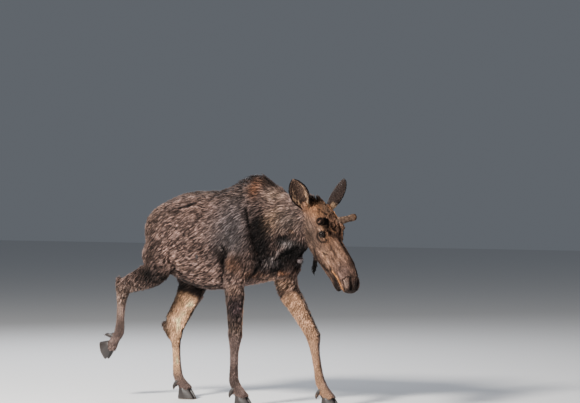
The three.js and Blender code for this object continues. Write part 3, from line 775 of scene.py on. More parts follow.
def blend_in(colours, hex_colour, weight):
    """Lays a colour over the others by its weight."""
    return colours + (linear(hex_colour) - colours) * weight[:, None]


def patched(colours, places, patches):
    """Lays soft oval patches over the colours, one by one."""
    for hex_colour, strength, middle, reach in patches:
        weight = strength * bump(np.linalg.norm((places - middle) / reach, axis=1), 1.15)
        colours = blend_in(colours, hex_colour, np.minimum(1, 1.25 * weight))
    return colours


def laid(strokes, corners):
    """The strokes with every point of their lines moved to the nearest corner of the skin."""
    return [(hex_colour, strength,
             [corners[np.argmin(np.linalg.norm(corners - spot, axis=1))] for spot in line], width)
            for hex_colour, strength, line, width in strokes]


def stroked(colours, places, strokes):
    """Lays soft strokes along lines over the colours, one by one."""
    for hex_colour, strength, line, width in strokes:
        colours = blend_in(colours, hex_colour, strength * bump(along_line(places, line), width))
    return colours


folded = fold(places)
face, _ = face_places(places)
BODY_STROKES, RIGHT_MARKS = laid(BODY_STROKES, folded), laid(RIGHT_MARKS, places)
FACE_STROKES, BROW_STROKES = laid(FACE_STROKES, face), laid(BROW_STROKES, to_head(places))


def blots(places, size):
    """A soft uneven pattern round nought: the sum of sines along nine slanted ways, bent."""
    ways = unit(np.random.default_rng(5).normal(size=(9, 3)))
    steps = places @ ways.T / size
    return np.sin(steps + 1.3 * np.sin(0.6 * steps[:, ::-1])).sum(axis=1) * math.sqrt(2 / 9)


def coat_colour(places, normals, shares):
    """The colour of the coat at any place on the skin: its markings, with painted shade in folds
    and under the body and painted highlights on ridges.
    """
    folded = fold(places)
    inward = ease(0.0, 0.75, -normals[:, 1] * np.sign(places[:, 1]))
    leg = shares[:, THIGH] + shares[:, SHIN]
    body = np.tile(linear(UMBER), (len(places), 1))
    body = blend_in(body, "#554740", ease(1000, 850, places[:, 2]) * leg)
    body = patched(blend_in(body, "#85706a", shares[:, SHIN] * 0.7), folded, BODY_PATCHES)
    body = stroked(stroked(body, folded, BODY_STROKES), places, RIGHT_MARKS)
    pale = np.where(places[:, 0] > 0, ease(940, 860, places[:, 2]),
                    bump(along_line(folded, INNER_HIND), 82) * ease(905, 850, places[:, 2]))
    body = blend_in(body, "#c89c7c", inward * leg * pale)
    # The hind legs' pale inside is lightened further: partly pale hair, partly painted light
    # falling on it.
    body = blend_in(body, "#ffcb9e", inward * leg * pale * (places[:, 0] < 0))
    body = blend_in(body, "#080606", np.minimum(1, shares[:, TAIL] * 0.5 + shares[:, BELL] * 1.4))
    face, _ = face_places(places)
    head = patched(np.tile(linear(HEAD_BASE), (len(places), 1)), face, HEAD_PATCHES)
    head = stroked(stroked(head, face, FACE_STROKES), to_head(places), BROW_STROKES)
    ways = unit(face - EYE_PLACE)
    round_eye = (np.linalg.norm(face - EYE_PLACE, axis=1) < 36) & (ways @ EYE_OUT > 0)
    lid = eye_opening(ways)
    bright = ease(2.3, 1.9, lid) * ease(1.5, 1.7, lid) * ease(0.3, -0.1, ways @ EYE_LONG)
    head = blend_in(head, "#b39a8c", round_eye * bright * 0.6)
    # Near black round the opening: partly the dark skin of the lids, partly painted shade under
    # them.
    head = blend_in(head, "#0c0807", round_eye * ease(1.7, 1.45, lid))
    head *= np.exp(0.2 * blots(face * [0.3, 1, 1], 5) + 0.16 * blots(face, 13))[:, None]
    body *= np.exp(0.15 * blots(places, 14) + 0.14 * blots(places + 90, 38))[:, None]
    return np.minimum(body + (head - body) * ease(0.25, 0.75, shares[:, HEAD])[:, None], 1)


skin_colour = coat_colour(places, normals, shares)
# The hide is painted darker than the coat: partly its own darker skin, partly painted shade in the
# gaps between tufts.
paint(skin, skin_colour * (0.3 + 0.4 * shares[:, HEAD, None]))
print("skin colours from", np.round(skin_colour.min(0), 3), "to", np.round(skin_colour.max(0), 3))

# %% [markdown]
# ## Finishes
#
# A finish is named for the stuff it is: guard hair, bare hide, velvet, horn, and the wet eye.
# Hair is keratin, with an index of refraction near 1.55, and a wet coat shines a little more than a
# dry one, unevenly. The colours come from each piece's own painted colours, which hold its markings
# together with painted shade and highlights, and small patterns on top are sized in millimetres.


# %% One helper for nodes
def add(tree, kind, sockets=None, **settings):
    """Adds a node with its settings; a socket is given a value, or another node's output."""
    node = tree.nodes.new("ShaderNode" + kind)
    for name, value in settings.items():
        setattr(node, name, value)
    for name, value in (sockets or {}).items():
        if isinstance(value, bpy.types.NodeSocket):
            tree.links.new(value, node.inputs[name])
        else:
            node.inputs[name].default_value = value
    return node


def per_mm(size):
    """A noise scale whose blots are about that many millimetres across, in metres of object."""
    return 1000 / (2 * size)


def finish(name, blot, spread, rough, grain, relief, **fixed):
    """A Principled surface: the painted colours, markings together with painted shade and
    highlights, times a noise from 1 - spread to 1 + spread in blots of that size, a roughness that
    varies over the same noise, and a bump of a finer grain."""
    material = bpy.data.materials.new(name)
    material.use_nodes = True
    tree = material.node_tree
    tree.nodes.clear()
    place = add(tree, "TexCoord").outputs["Object"]
    marking_and_painted_light = add(tree, "Attribute", attribute_name="marking_and_painted_light").outputs["Color"]
    blots = add(tree, "TexNoise", {"Vector": place, "Scale": per_mm(blot), "Detail": 4.0})
    shade = add(tree, "MapRange", {"Value": blots.outputs["Fac"], "From Min": 0.3, "From Max": 0.7,
                                   "To Min": 1 - spread, "To Max": 1 + spread})
    colour = add(tree, "VectorMath", {0: marking_and_painted_light, "Scale": shade.outputs["Result"]},
                 operation="SCALE")
    roughness = add(tree, "MapRange", {"Value": blots.outputs["Fac"], "From Min": 0.3,
                                       "From Max": 0.7, "To Min": rough[0], "To Max": rough[1]})
    fine = add(tree, "TexNoise", {"Vector": place, "Scale": per_mm(grain), "Detail": 3.0})
    bumps = add(tree, "Bump", {"Height": fine.outputs["Fac"], "Strength": 0.6,
                               "Distance": relief * MM})
    surface = add(tree, "BsdfPrincipled", {"Base Color": colour.outputs["Vector"],
                                           "Roughness": roughness.outputs["Result"],
                                           "Normal": bumps.outputs["Normal"], **fixed})
    add(tree, "OutputMaterial", {"Surface": surface.outputs["BSDF"]})
    return material


# Guard hair (the long outer hair): coarse and oily, it sheds water and shines along its lie.
guard_hair = finish("wet_guard_hair", 30, 0.16, (0.5, 0.72), 2, 0.4,
                    **{"IOR": 1.5, "Specular IOR Level": 0.12})
# Hide under the hair (skin): dull, and only seen in the gaps between tufts.
hide = finish("hide_under_hair", 18, 0.22, (0.6, 0.85), 2.2, 1.6,
              **{"IOR": 1.45, "Specular IOR Level": 0.1})
# Bare hide (lids and growths): smooth, damp and slightly see-through, so its light spreads.
bare_hide = finish("bare_damp_hide", 5, 0.22, (0.3, 0.5), 1.6, 0.8,
                   **{"IOR": 1.42, "Subsurface Weight": 0.08, "Subsurface Radius": (0.004,) * 3})
# Velvet (the living skin of a growing antler): a dull, dense pile of fine hair.
velvet = finish("antler_velvet", 9, 0.25, (0.8, 0.95), 1.4, 1.6,
                **{"IOR": 1.4, "Specular IOR Level": 0.1})
# Horn (keratin of hooves and dewclaws): grown downwards in layers, worn satin by gravel.
horn = finish("hoof_horn", 7, 0.2, (0.35, 0.6), 1.8, 0.7, **{"IOR": 1.55})
# Eye (the wet cornea over a dark iris): as smooth as glass.
wet_eye = finish("wet_eye", 4, 0.08, (0.04, 0.07), 6, 0.02,
                 **{"IOR": 1.38, "Specular IOR Level": 0.35})
print("finishes:", [material.name for material in bpy.data.materials])


# %% Hand a piece to the frame
def hand_over(piece, material, slot, *replaced):
    """Gives a piece its finish, hangs it on the root, and hides the nodes that it stands for."""
    piece.data.materials.clear()
    piece.data.materials.append(material)
    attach(piece, "root")
    if replaced:
        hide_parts(*replaced)
    return piece


flesh = [n for n in filled if not n.startswith(("eye", "antler")) and "dewclaw" not in n]
hand_over(skin, hide, "body_coat", *flesh)
print("one skin stands for", len(flesh), "nodes of flesh")

# %% [markdown]
# ## The lie of the coat
#
# Hair leans away from the nose: back over the body, down the sides and legs, and round the
# folds. A few dozen guides say which way it leans at a place on the folded side. Between them
# the direction is their mean, weighted by a bell curve of the distance, and then laid flat on
# the skin.

# %% Guides
BODY_LIE = [  # a place on the folded side, and the way the hair points there
    ((-760, 0, 1500), (-0.55, 0, -0.85)), ((-600, 0, 1640), (-1, 0, -0.35)),
    ((-300, 0, 1700), (-1, 0, -0.1)), ((0, 0, 1740), (-1, 0, 0.05)),
    ((190, 0, 1830), (-1, 0, 0.15)), ((330, 0, 1760), (-1, 0, 0.1)),
    ((480, 0, 1680), (-1, 0, 0.12)), ((640, 0, 1640), (-0.9, 0, 0.5)),
    ((-500, 230, 1450), (-0.8, 0, -0.6)), ((-200, 260, 1500), (-0.85, 0, -0.5)),
    ((-150, 280, 1250), (-0.75, 0, -0.65)), ((-100, 260, 1110), (-0.95, 0, -0.3)),
    ((-100, 250, 1000), (-1, 0, -0.12)), ((-250, 250, 970), (-1, 0, 0.05)),
    ((-380, 240, 1010), (-1, 0, 0.3)), ((-430, 240, 1100), (-0.7, 0, 0.7)),
    ((-100, 0, 910), (-1, 0, 0)), ((-400, 80, 950), (-0.8, 0, -0.6)),
    ((150, 200, 1600), (-0.6, 0, -0.8)), ((200, 250, 1350), (-0.45, 0, -0.9)),
    ((130, 230, 1080), (-0.35, 0, -0.95)), ((480, 120, 1520), (-0.8, 0, -0.6)),
    ((500, 160, 1350), (-0.5, 0, -0.87)), ((560, 110, 1220), (-0.2, 0, -1)),
    ((640, 0, 1180), (0.1, 0, -1)), ((400, 60, 1000), (-0.8, 0, -0.6)),
    ((-520, 250, 1200), (-0.4, 0, -0.92)), ((-560, 220, 1080), (-0.4, 0, -0.92)),
    ((-700, 150, 1300), (-0.3, 0, -0.95)), ((100, 160, 700), (0, 0, -1)),
    ((100, 160, 300), (0, 0, -1)), ((600, 160, 600), (0, 0, -1)),
    ((600, 160, 200), (0.2, 0, -1)), ((-700, 160, 700), (-0.1, 0, -1)),
    ((-650, 150, 250), (0, 0, -1)), ((-900, 160, 950), (-0.6, 0, -0.8)),
    ((-1040, 150, 700), (0, 0, -1)), ((-1120, 150, 450), (-0.8, 0, -0.6)),
    ((-800, 0, 1450), (-0.3, 0, -0.95)), ((800, 40, 1150), (0, 0, -1)),
    ((740, 0, 1250), (-0.3, 0, -0.95)),
]
HEAD_LIE = [  # the same in the head's frame
    ((700, 40, 0), (-1, 0.2, 0)), ((500, 60, -60), (-1, 0.2, -0.1)),
    ((300, 90, -100), (-1, 0, -0.25)), ((150, 100, -160), (-0.8, 0, -0.5)),
    ((200, 0, 10), (-1, 0.35, 0)), ((60, 0, 0), (-1, 0, 0)), ((560, 50, -150), (-1, 0, 0)),
    ((350, 0, -240), (-1, 0, 0)), ((20, 80, -60), (-0.7, 0.6, 0.2)),
]


def blended_lie(places, guides, reach):
    """The mean of the guides' directions at each place, by a bell curve of their distance."""
    total = np.zeros_like(places)
    for place, way in guides:
        near = bump(np.linalg.norm(places - place, axis=1), reach) + 1e-9
        total += near[:, None] * unit(np.array(way, float))
    return total


def lie_of_hair(places, normals, head_share):
    """The way the hair points at each place, laid flat on the skin."""
    side = np.where(places[:, 1] < 0, -1.0, 1.0)[:, None] * [0, 1, 0] + [1, 0, 1]
    body = blended_lie(places * side, BODY_LIE, 200) * side
    face, turned = face_places(places)
    head = blended_lie(face, HEAD_LIE, 120)
    head[:, 1] *= turned
    ways = unit(body) + (unit(head @ HEAD_WAYS) - unit(body)) * ease(0.3, 0.7, head_share)[:, None]
    return unit(ways - normals * np.sum(ways * normals, axis=1, keepdims=True))


ways = lie_of_hair(places, normals, shares[:, HEAD])
print("the hair of the skin's first corner points", np.round(ways[0], 2))

# %% [markdown]
# ## Tufts
#
# Hair shows as tufts, not as single hairs: a few dozen hairs stuck together, widest near the
# root and drawn out to a point. Each tuft here is a thin three-sided blade of two lengths,
# bedded a little into the skin and lying along it. Wet tufts lean together into locks, so
# every tip is drawn sideways to the middle line of the lock that it reaches.


# %% Roots and locks
def scatter(corners, triangles, per_corner, rng):
    """Roots on the triangles, as many to a square millimetre as the corners ask. The marks are
    evenly spaced along the running total of roots, so they spread without gaps. Gives back a
    function that carries a value of the corners to the roots."""
    a, b, c = (corners[triangles[:, k]] for k in range(3))
    area = np.linalg.norm(np.cross(b - a, c - a), axis=1) / 2
    total = np.cumsum(area * per_corner[triangles].mean(axis=1))
    count = int(total[-1])
    marks = (np.arange(count) + rng.random(count)) * total[-1] / count
    chosen = triangles[np.minimum(np.searchsorted(total, marks), len(total) - 1)]
    u, v = rng.random((2, count))
    over = u + v > 1
    u, v = np.where(over, 1 - u, u), np.where(over, 1 - v, v)
    shares = np.stack([1 - u - v, u, v], axis=1)

    def at_roots(values):
        picked = values[chosen]
        return np.sum(picked * shares.reshape(shares.shape + (1,) * (picked.ndim - 2)), axis=1)

    return at_roots


def scrambled(cells):
    """Three numbers from 0 to 1 that belong to a cell: the tail digits of large sines."""
    mixed = cells @ np.array([[127.1, 269.5, 113.5], [311.7, 183.3, 271.9], [74.7, 246.1, 124.6]])
    return np.mod(np.sin(mixed) * 43758.5453, 1)


def locks(places, size, lie):
    """The middle of the lock that each place belongs to, and a number of that lock's own.
    Space is squeezed along the lie, so that locks come out long, and cut into cubes with one
    middle strayed inside each. The nearest middle counts."""
    lie = unit(np.array(lie, float))
    places = places - 0.6 * (places @ lie)[:, None] * lie
    home = np.floor(places / size)
    best = np.full(len(places), np.inf)
    middle, own = places.copy(), np.zeros(len(places))
    for step in np.stack(np.meshgrid(*[[-1, 0, 1]] * 3), axis=-1).reshape(-1, 3):
        strayed = scrambled(home + step)
        point = (home + step + strayed) * size
        gap = np.linalg.norm(point - places, axis=1)
        closer = gap < best
        best = np.where(closer, gap, best)
        middle = np.where(closer[:, None], point, middle)
        own = np.where(closer, np.mod(strayed.sum(axis=1) * 7.3, 1), own)
    return middle + 1.5 * (middle @ lie)[:, None] * lie, own


print("two places in one lock:", locks(np.array([[1.0, 2, 3], [2.0, 2, 3]]), 30, (1, 0, 0))[1])


# %% Blades
FACES_OF_TUFT = (np.array([(0, 1, 4, 3), (1, 2, 5, 4), (2, 0, 3, 5)]),
                 np.array([(3, 4, 6), (4, 5, 6), (5, 3, 6), (0, 2, 1)]))
PATCH_OF_TUFT = np.array([(-0.5, -0.5), (0.5, -0.5), (0, -0.5), (-0.4, 0), (0.4, 0), (0, 0),
                          (0, 0.5)])
PATCH = 0.003  # width of a tuft's place on the unwrap


def blades(roots, normals, ways, length, width, lift, drift):
    """The seven corners of each tuft: left, right and ridge at the root and half way, and the
    tip. It rises by its lift and drifts sideways, most at the tip."""
    side = np.cross(normals, ways)

    def ring(share, rise, stray, half, ridge):
        middle = (roots + ways * (length * share)[:, None] + normals * (lift * rise)[:, None]
                  + side * (drift * stray)[:, None])
        out = side * (width * half)[:, None]
        return [middle - out, middle + out, middle + normals * (width * ridge)[:, None]]

    tip = roots + ways * length[:, None] + normals * lift[:, None] + side * drift[:, None]
    return np.stack([*ring(np.zeros(len(roots)), -0.3, 0, 0.36, 0.22),
                     *ring(np.full(len(roots), 0.5), 0.72, 0.35, 0.5, 0.24), tip], axis=1)


def tuft_piece(name, corners, colours, unwrapped):
    """All tufts of a piece as one mesh, with their colours and the map called OFBake."""
    count = len(corners)
    starts = 7 * np.arange(count)[:, None, None]
    faces = [(starts + shape).reshape(-1, shape.shape[1]) for shape in FACES_OF_TUFT]
    piece = new_piece(name, corners.reshape(-1, 3), *faces)
    paint(piece, colours.reshape(-1, 3))
    patch = (unwrapped[:, None] + PATCH_OF_TUFT * PATCH).reshape(-1, 2)
    layer = piece.data.uv_layers.new(name="OFBake")
    corner = read(piece.data.loops, "vertex_index", 1, int)
    layer.data.foreach_set("uv", patch[corner].astype(np.float32).ravel())
    return piece


def unwrap(places, line):
    """The skin unrolled from a line inside it: how far round, and how far along, each 0 to 1."""
    line = np.array(line, float)
    best, spot = np.full(len(places), np.inf), np.zeros((len(places), 2))
    done = 0.0
    for k, (start, end) in enumerate(zip(line[:-1], line[1:])):
        step = end - start
        size = np.linalg.norm(step)
        low, high = (-np.inf if k == 0 else 0), (np.inf if k == len(line) - 2 else 1)
        share = np.clip((places - start) @ step / size ** 2, low, high)
        off = places - start - share[:, None] * step
        gap = np.linalg.norm(off, axis=1)
        left = unit(np.cross([0.02, 0, 1.0], step))
        up = unit(np.cross(step, left))
        here = np.stack([np.arctan2(off @ left, off @ up) / (2 * np.pi) + 0.5,
                         done + share * size], axis=1)
        closer = gap < best
        best, spot = np.where(closer, gap, best), np.where(closer[:, None], here, spot)
        done += size
    spot[:, 1] = (spot[:, 1] - spot[:, 1].min()) / max(np.ptp(spot[:, 1]), 1e-6)
    return 0.01 + 0.98 * spot


print("a tuft has", sum(len(f) * (f.shape[1] - 2) for f in FACES_OF_TUFT), "triangles")

# %% [markdown]
# ## The coat
#
# On the flank a moose's guard hair is about 5 cm long and lies flat; on the ridge of neck and
# hump it is a mane twice as long; on the face, shins and feet it is short and fine. Each of
# the skin's regions has its own numbers, and the skin's region shares blend them.

# %% How the coat grows
#               trunk  neck   head   thigh  shin   tail   bell
DENSITY = np.array([0.0235, 0.025, 0.036, 0.021, 0.030, 0.026, 0.05])  # roots to a mm²
LENGTH = np.array([34.0, 30.0, 13.0, 28.0, 15.0, 44.0, 26.0])  # mm
WIDTH = np.array([4.8, 4.6, 3.0, 5.0, 3.4, 5.0, 8.0])
LIFT = np.array([7.0, 6.5, 2.0, 5.0, 2.2, 6.0, 12.0])
LOCK = np.array([11.0, 10.0, 7.0, 11.0, 7.0, 14.0, 16.0])
LOCK_LIE = [(-0.8, 0, -0.5), (-0.65, 0, -0.75), HEAD_WAYS[0], (-0.4, 0, -0.9), (0, 0, -1),
            (-0.3, 0, -1), (0, 0, -1)]
MANE_LENGTH = 38.0  # added on the ridge of mane and hump
POLL, POLL_REACH = [815, -40, 1636], 70  # between the ears, where the hair stands up
POLL_LIFT, POLL_LENGTH, POLL_WIDTH = 98, 10, 3  # added there

rng = np.random.default_rng(7)
face, _ = face_places(places)
from_eye = face - EYE_PLACE
ways_from_eye = unit(from_eye)
in_opening = ((np.linalg.norm(from_eye, axis=1) < 34) & (ways_from_eye @ EYE_OUT > 0.2)
              & (eye_opening(ways_from_eye) < 1.7))
on_antler = along_line(face, [(150, 112, 20), (145, 210, 62)]) < 31
in_nostril = along_line(face, NOSTRIL) < 9
bare_pad = np.linalg.norm((face - [728, 0, -40]) / [22, 44, 40], axis=1) < 1
in_mouth = (along_line(face, MOUTH) < 4) & (face[:, 0] > 520)
bare = (shares[:, HEAD] > 0.4) & (in_opening | on_antler | in_nostril | bare_pad | in_mouth)
density = shares @ DENSITY * ~bare

at_roots = scatter(places, triangles, density, rng)
roots, root_normals = at_roots(places), unit(at_roots(normals))
root_shares = at_roots(shares)
root_ways = lie_of_hair(roots, root_normals, root_shares[:, HEAD])
folded = fold(roots)
mane = bump(along_line(folded, MANE), 85) * (1 - root_shares[:, HEAD])
print(len(roots), "roots; on the head", int(np.sum(root_shares[:, HEAD] > 0.5)))

# %% Length, lean and lock of each tuft
count = len(roots)
uneven = rng.normal(size=(count, 4))
length = (root_shares @ LENGTH + MANE_LENGTH * mane) * np.exp(0.2 * uneven[:, 0])
width = root_shares @ WIDTH * np.exp(0.15 * uneven[:, 1])
lift = root_shares @ LIFT * np.exp(0.22 * uneven[:, 2])
middle = np.zeros((count, 3))
own = np.zeros(count)
main = np.argmax(root_shares, axis=1)
aim = roots + root_ways * (0.8 * length)[:, None]
for k, size in enumerate(LOCK):
    here = main == k
    middle[here], own[here] = locks(aim[here], size, LOCK_LIE[k])
# Lighter locks are lifted higher and darker ones lie lower, so each lock's own tone also stands for
# the shade between locks.
lift = lift * (0.35 + 1.3 * own) * (1 - 0.5 * mane) + 7 * mane
poll = bump(np.linalg.norm(roots - POLL, axis=1), POLL_REACH)
poll *= 1 - 0.7 * root_shares[:, HEAD]
lift += POLL_LIFT * poll
length += POLL_LENGTH * poll
width += POLL_WIDTH * poll
root_side = np.cross(root_normals, root_ways)
drift = np.sum((middle - aim) * root_side, axis=1) * 0.85
drift = np.clip(drift, -0.45 * length, 0.45 * length) + 0.05 * length * uneven[:, 3]
corners_of_tufts = blades(roots, root_normals, root_ways, length, width, lift, drift)
print("tufts from", round(length.min()), "to", round(length.max()), "mm")

# %% Colours of the tufts
def tuft_colours(colour, own, rng, light=0.3, root=0.42, spread=0.2, bleach_and_highlight_gain=1.9):
    """Seven colours to a tuft: dark at the root, as painted shade down among the hairs, and at the
    tip either plain or, for a share of them, lighter, partly hair paled by the sun and partly a
    painted highlight on wet tips. Each lock and each tuft strays from its place's colour."""
    # The root is darkened as painted shade, and a share of the tips is lightened as sun-paled hair
    # with a painted highlight on it.
    shade = np.exp(spread * (2 * own - 1) + 0.2 * rng.normal(size=len(own)))
    tip_bleach_and_highlight = np.where(rng.random(len(own)) < light, bleach_and_highlight_gain, 1.0)
    steps = np.array([root] * 3 + [0.85] * 3)[None] * np.ones((len(own), 1))
    steps[:, 3:] *= (1 + 0.35 * (tip_bleach_and_highlight - 1))[:, None]
    steps = np.c_[steps, tip_bleach_and_highlight]
    warm = 1 + (tip_bleach_and_highlight[:, None] - 1) * np.array([0.08, 0.0, -0.06])
    return colour[:, None] * (shade[:, None] * steps)[..., None] * warm[:, None]


shown = roots + root_ways * (0.6 * length)[:, None]  # the part of a tuft that others leave bare
root_colour = coat_colour(shown, root_normals, root_shares)
flank = bump(np.linalg.norm((folded - [-150, 260, 1080]) / [520, 260, 260], axis=1), 1)
light_share = 0.16 + 0.34 * flank * (root_shares[:, TRUNK] + root_shares[:, THIGH])
contrast = root_shares @ [1.25, 0.85, 0.68, 1.05, 0.5, 0.4, 0.3] * (1 - 0.4 * mane)
wet = bump(np.linalg.norm((folded - [150, 250, 1330]) / [190, 200, 300], axis=1), 1)
contrast *= 1 - 0.5 * wet
light_share *= 1 - 0.6 * wet
inner_leg = ease(0.2, 0.75, -root_normals[:, 1] * np.sign(roots[:, 1])) * (roots[:, 2] < 930)
contrast *= 1 - 0.6 * inner_leg
of_tufts = tuft_colours(root_colour * 0.85, own, rng, light_share, 0.22, contrast, 1.85)
print("mean coat colour", np.round(of_tufts.mean(axis=(0, 1)), 3))

# %% Coat pieces
HEAD_LINE = from_head([(-80, 0, -130), (300, 0, -130), (720, 0, -60)])
LINES = {  # the line inside each region that its coat is unrolled from
    "trunk": [(-800, 0, 1330), (-300, 0, 1300), (520, 0, 1400)],
    "neck": [(420, 0, 1450), (840, -40, 1380)],
    "head": HEAD_LINE,
    "foreleg_left": [(300, 165, 1100), (659, 155, 570), (736, 149, 204), (820, 149, 80)],
    "foreleg_right": [(122, -180, 1100), (121, -164, 575), (108, -158, 201), (192, -158, 80)],
    "hindleg_left": [(-480, 165, 1050), (-709, 152, 592), (-675, 146, 187), (-590, 146, 80)],
    "hindleg_right": [(-560, -176, 1080), (-1012, -158, 927), (-1049, -150, 547),
                      (-1140, -150, 430)],
    "tail": [(-780, 0, 1540), (-850, 0, 1400)],
    "bell": [(810, -38, 1240), (810, -38, 1080)],
}
leg_of = np.where(roots[:, 0] > -200, 0, 2) + (roots[:, 1] < 0)
home = np.select([main == k for k in (TRUNK, NECK, HEAD, TAIL, BELL)],
                 [0, 1, 2, 7, 8], 3 + leg_of)  # places in LINES
PARTS = {  # how a region's coat is parted into pieces, each of fewer than 200,000 triangles
    "trunk": [("rump", roots[:, 0] < -380), ("flank", np.abs(roots[:, 0] + 170) <= 210),
              ("shoulder", roots[:, 0] > 40)],
}
sides = [("left", roots[:, 1] >= 0), ("right", roots[:, 1] < 0)]
head_side = to_head(roots)[:, 1] >= 0
HALVES = {"trunk": sides, "neck": sides, "head": [("left", head_side), ("right", ~head_side)]}
coat_pieces = 0
for k, (region, line) in enumerate(LINES.items()):
    here = home == k
    spot = np.zeros((count, 2))
    spot[here] = unwrap(roots[here], line)
    slot = {"head": "face_coat"}.get(region, "leg_coat" if "leg" in region else "body_coat")
    for part, within in PARTS.get(region, [("", here)]):
        for side, beside in HALVES.get(region, [("", here)]):
            chosen = here & within & beside
            name = "_".join(word for word in ("coat", part or region, side) if word)
            piece = tuft_piece(name, corners_of_tufts[chosen], of_tufts[chosen], spot[chosen])
            hand_over(piece, guard_hair, slot)
            coat_pieces += 1
            print(name, int(chosen.sum()), "tufts")
print(coat_pieces, "pieces of coat")

# %% [markdown]
# ## Ears
#
# A moose's ear is a leaf of gristle rolled into a cup, about 28 cm long, with short dark fur
# outside and long pale hair inside its rim. The leaf is a grid along and across the ear, made
# twice, once for the inside and once for the outside, and closed round the rim.

# %% The leaf
EAR_LONG, EAR_WIDE = 44, 25  # corners along and across a leaf
LEAF_HALF = 2.2  # half the thickness of the leaf
EAR_ROWS = [  # share of the length, half width, and half angle of the curl
    (0.0, 52, 2.3), (0.12, 66, 2.0), (0.3, 84, 1.5), (0.5, 89, 1.15), (0.7, 76, 0.95),
    (0.88, 45, 0.8), (0.97, 17, 0.7),
]


def ear_ways(reach, opening):
    """Across the ear, out of its opening, and along it."""
    along = unit(np.array(reach, float))
    out = unit(np.array(opening) - along * (along @ opening))
    return np.array([np.cross(out, along), out, along])


def ear_leaf(side, thick, long=EAR_LONG, wide=EAR_WIDE):
    """A leaf of the ear at a distance from its middle: an arc across it, whose radius is the
    half width over the half angle, and which the table gives along its length."""
    root, reach, opening = EARS[side]
    table = through(EAR_ROWS, long)
    radius, curl = table[:, 1] / table[:, 2], table[:, 2]
    back = np.minimum(radius * (1 - np.cos(curl)) / 2, 30)
    angle = curl[:, None] * np.linspace(-1, 1, wide)
    away = (radius + thick)[:, None]
    waves = 1.2 * np.sin(np.linspace(0, 9, long))[:, None] * np.abs(np.linspace(-1, 1, wide)) ** 3
    spread = np.stack([away * np.sin(angle), radius[:, None] - away * np.cos(angle)
                       - back[:, None] + waves,
                       table[:, :1] * np.linalg.norm(reach) + 0 * angle], axis=-1)
    return spread @ ear_ways(reach, opening) + root


def ear_shell(side):
    """The outer leaf and, backwards, the inner one, as rings of one closed shell."""
    outer, inner = ear_leaf(side, LEAF_HALF), ear_leaf(side, -LEAF_HALF)
    return np.concatenate([outer, inner[:, ::-1]], axis=1)


OUTER_FUR, RIM_FUR, INNER_FUR, CREAM = "#3d322e", "#0e0a09", "#634f44", "#b8967a"
for side in EARS:
    corners, sides_of, ends = grid_shell(from_head(ear_shell(side)))
    piece = new_piece("ear_" + side + "_leaf", corners, sides_of, ends)
    there = np.linspace(-1, 1, EAR_WIDE)
    back = np.linspace(1, -1, EAR_WIDE)
    across = np.r_[np.tile(np.r_[there, back], EAR_LONG), 0, 0]
    inside = np.r_[np.tile(np.repeat([0.0, 1.0], EAR_WIDE), EAR_LONG), 0, 0]
    colours = np.where(inside[:, None] > 0.5, linear("#3d302a"), linear(OUTER_FUR) * 0.5)
    colours = blend_in(colours, RIM_FUR, ease(0.8, 1, np.abs(across)))
    paint(piece, colours)
    hand_over(piece, hide, "face_coat", "ear_" + side)
    print(piece.name, len(corners), "corners")


# %% Fur of the ears
def leaf_roots(leaf, along, across):
    """Places, normals and ways to the tip, at shares along and across a leaf's grid."""
    long, wide = leaf.shape[:2]
    slopes = np.gradient(leaf, axis=0), np.gradient(leaf, axis=1)
    i = np.clip(along * (long - 1), 0, long - 1.001)
    j = np.clip((across + 1) / 2 * (wide - 1), 0, wide - 1.001)

    def picked(grid):
        a, b = i.astype(int), j.astype(int)
        s, t = (i - a)[:, None], (j - b)[:, None]
        return ((grid[a, b] * (1 - t) + grid[a, b + 1] * t) * (1 - s)
                + (grid[a + 1, b] * (1 - t) + grid[a + 1, b + 1] * t) * s)

    normal = unit(np.cross(picked(slopes[1]), picked(slopes[0])))
    return picked(leaf), normal, unit(picked(slopes[0])), unit(picked(slopes[1]))


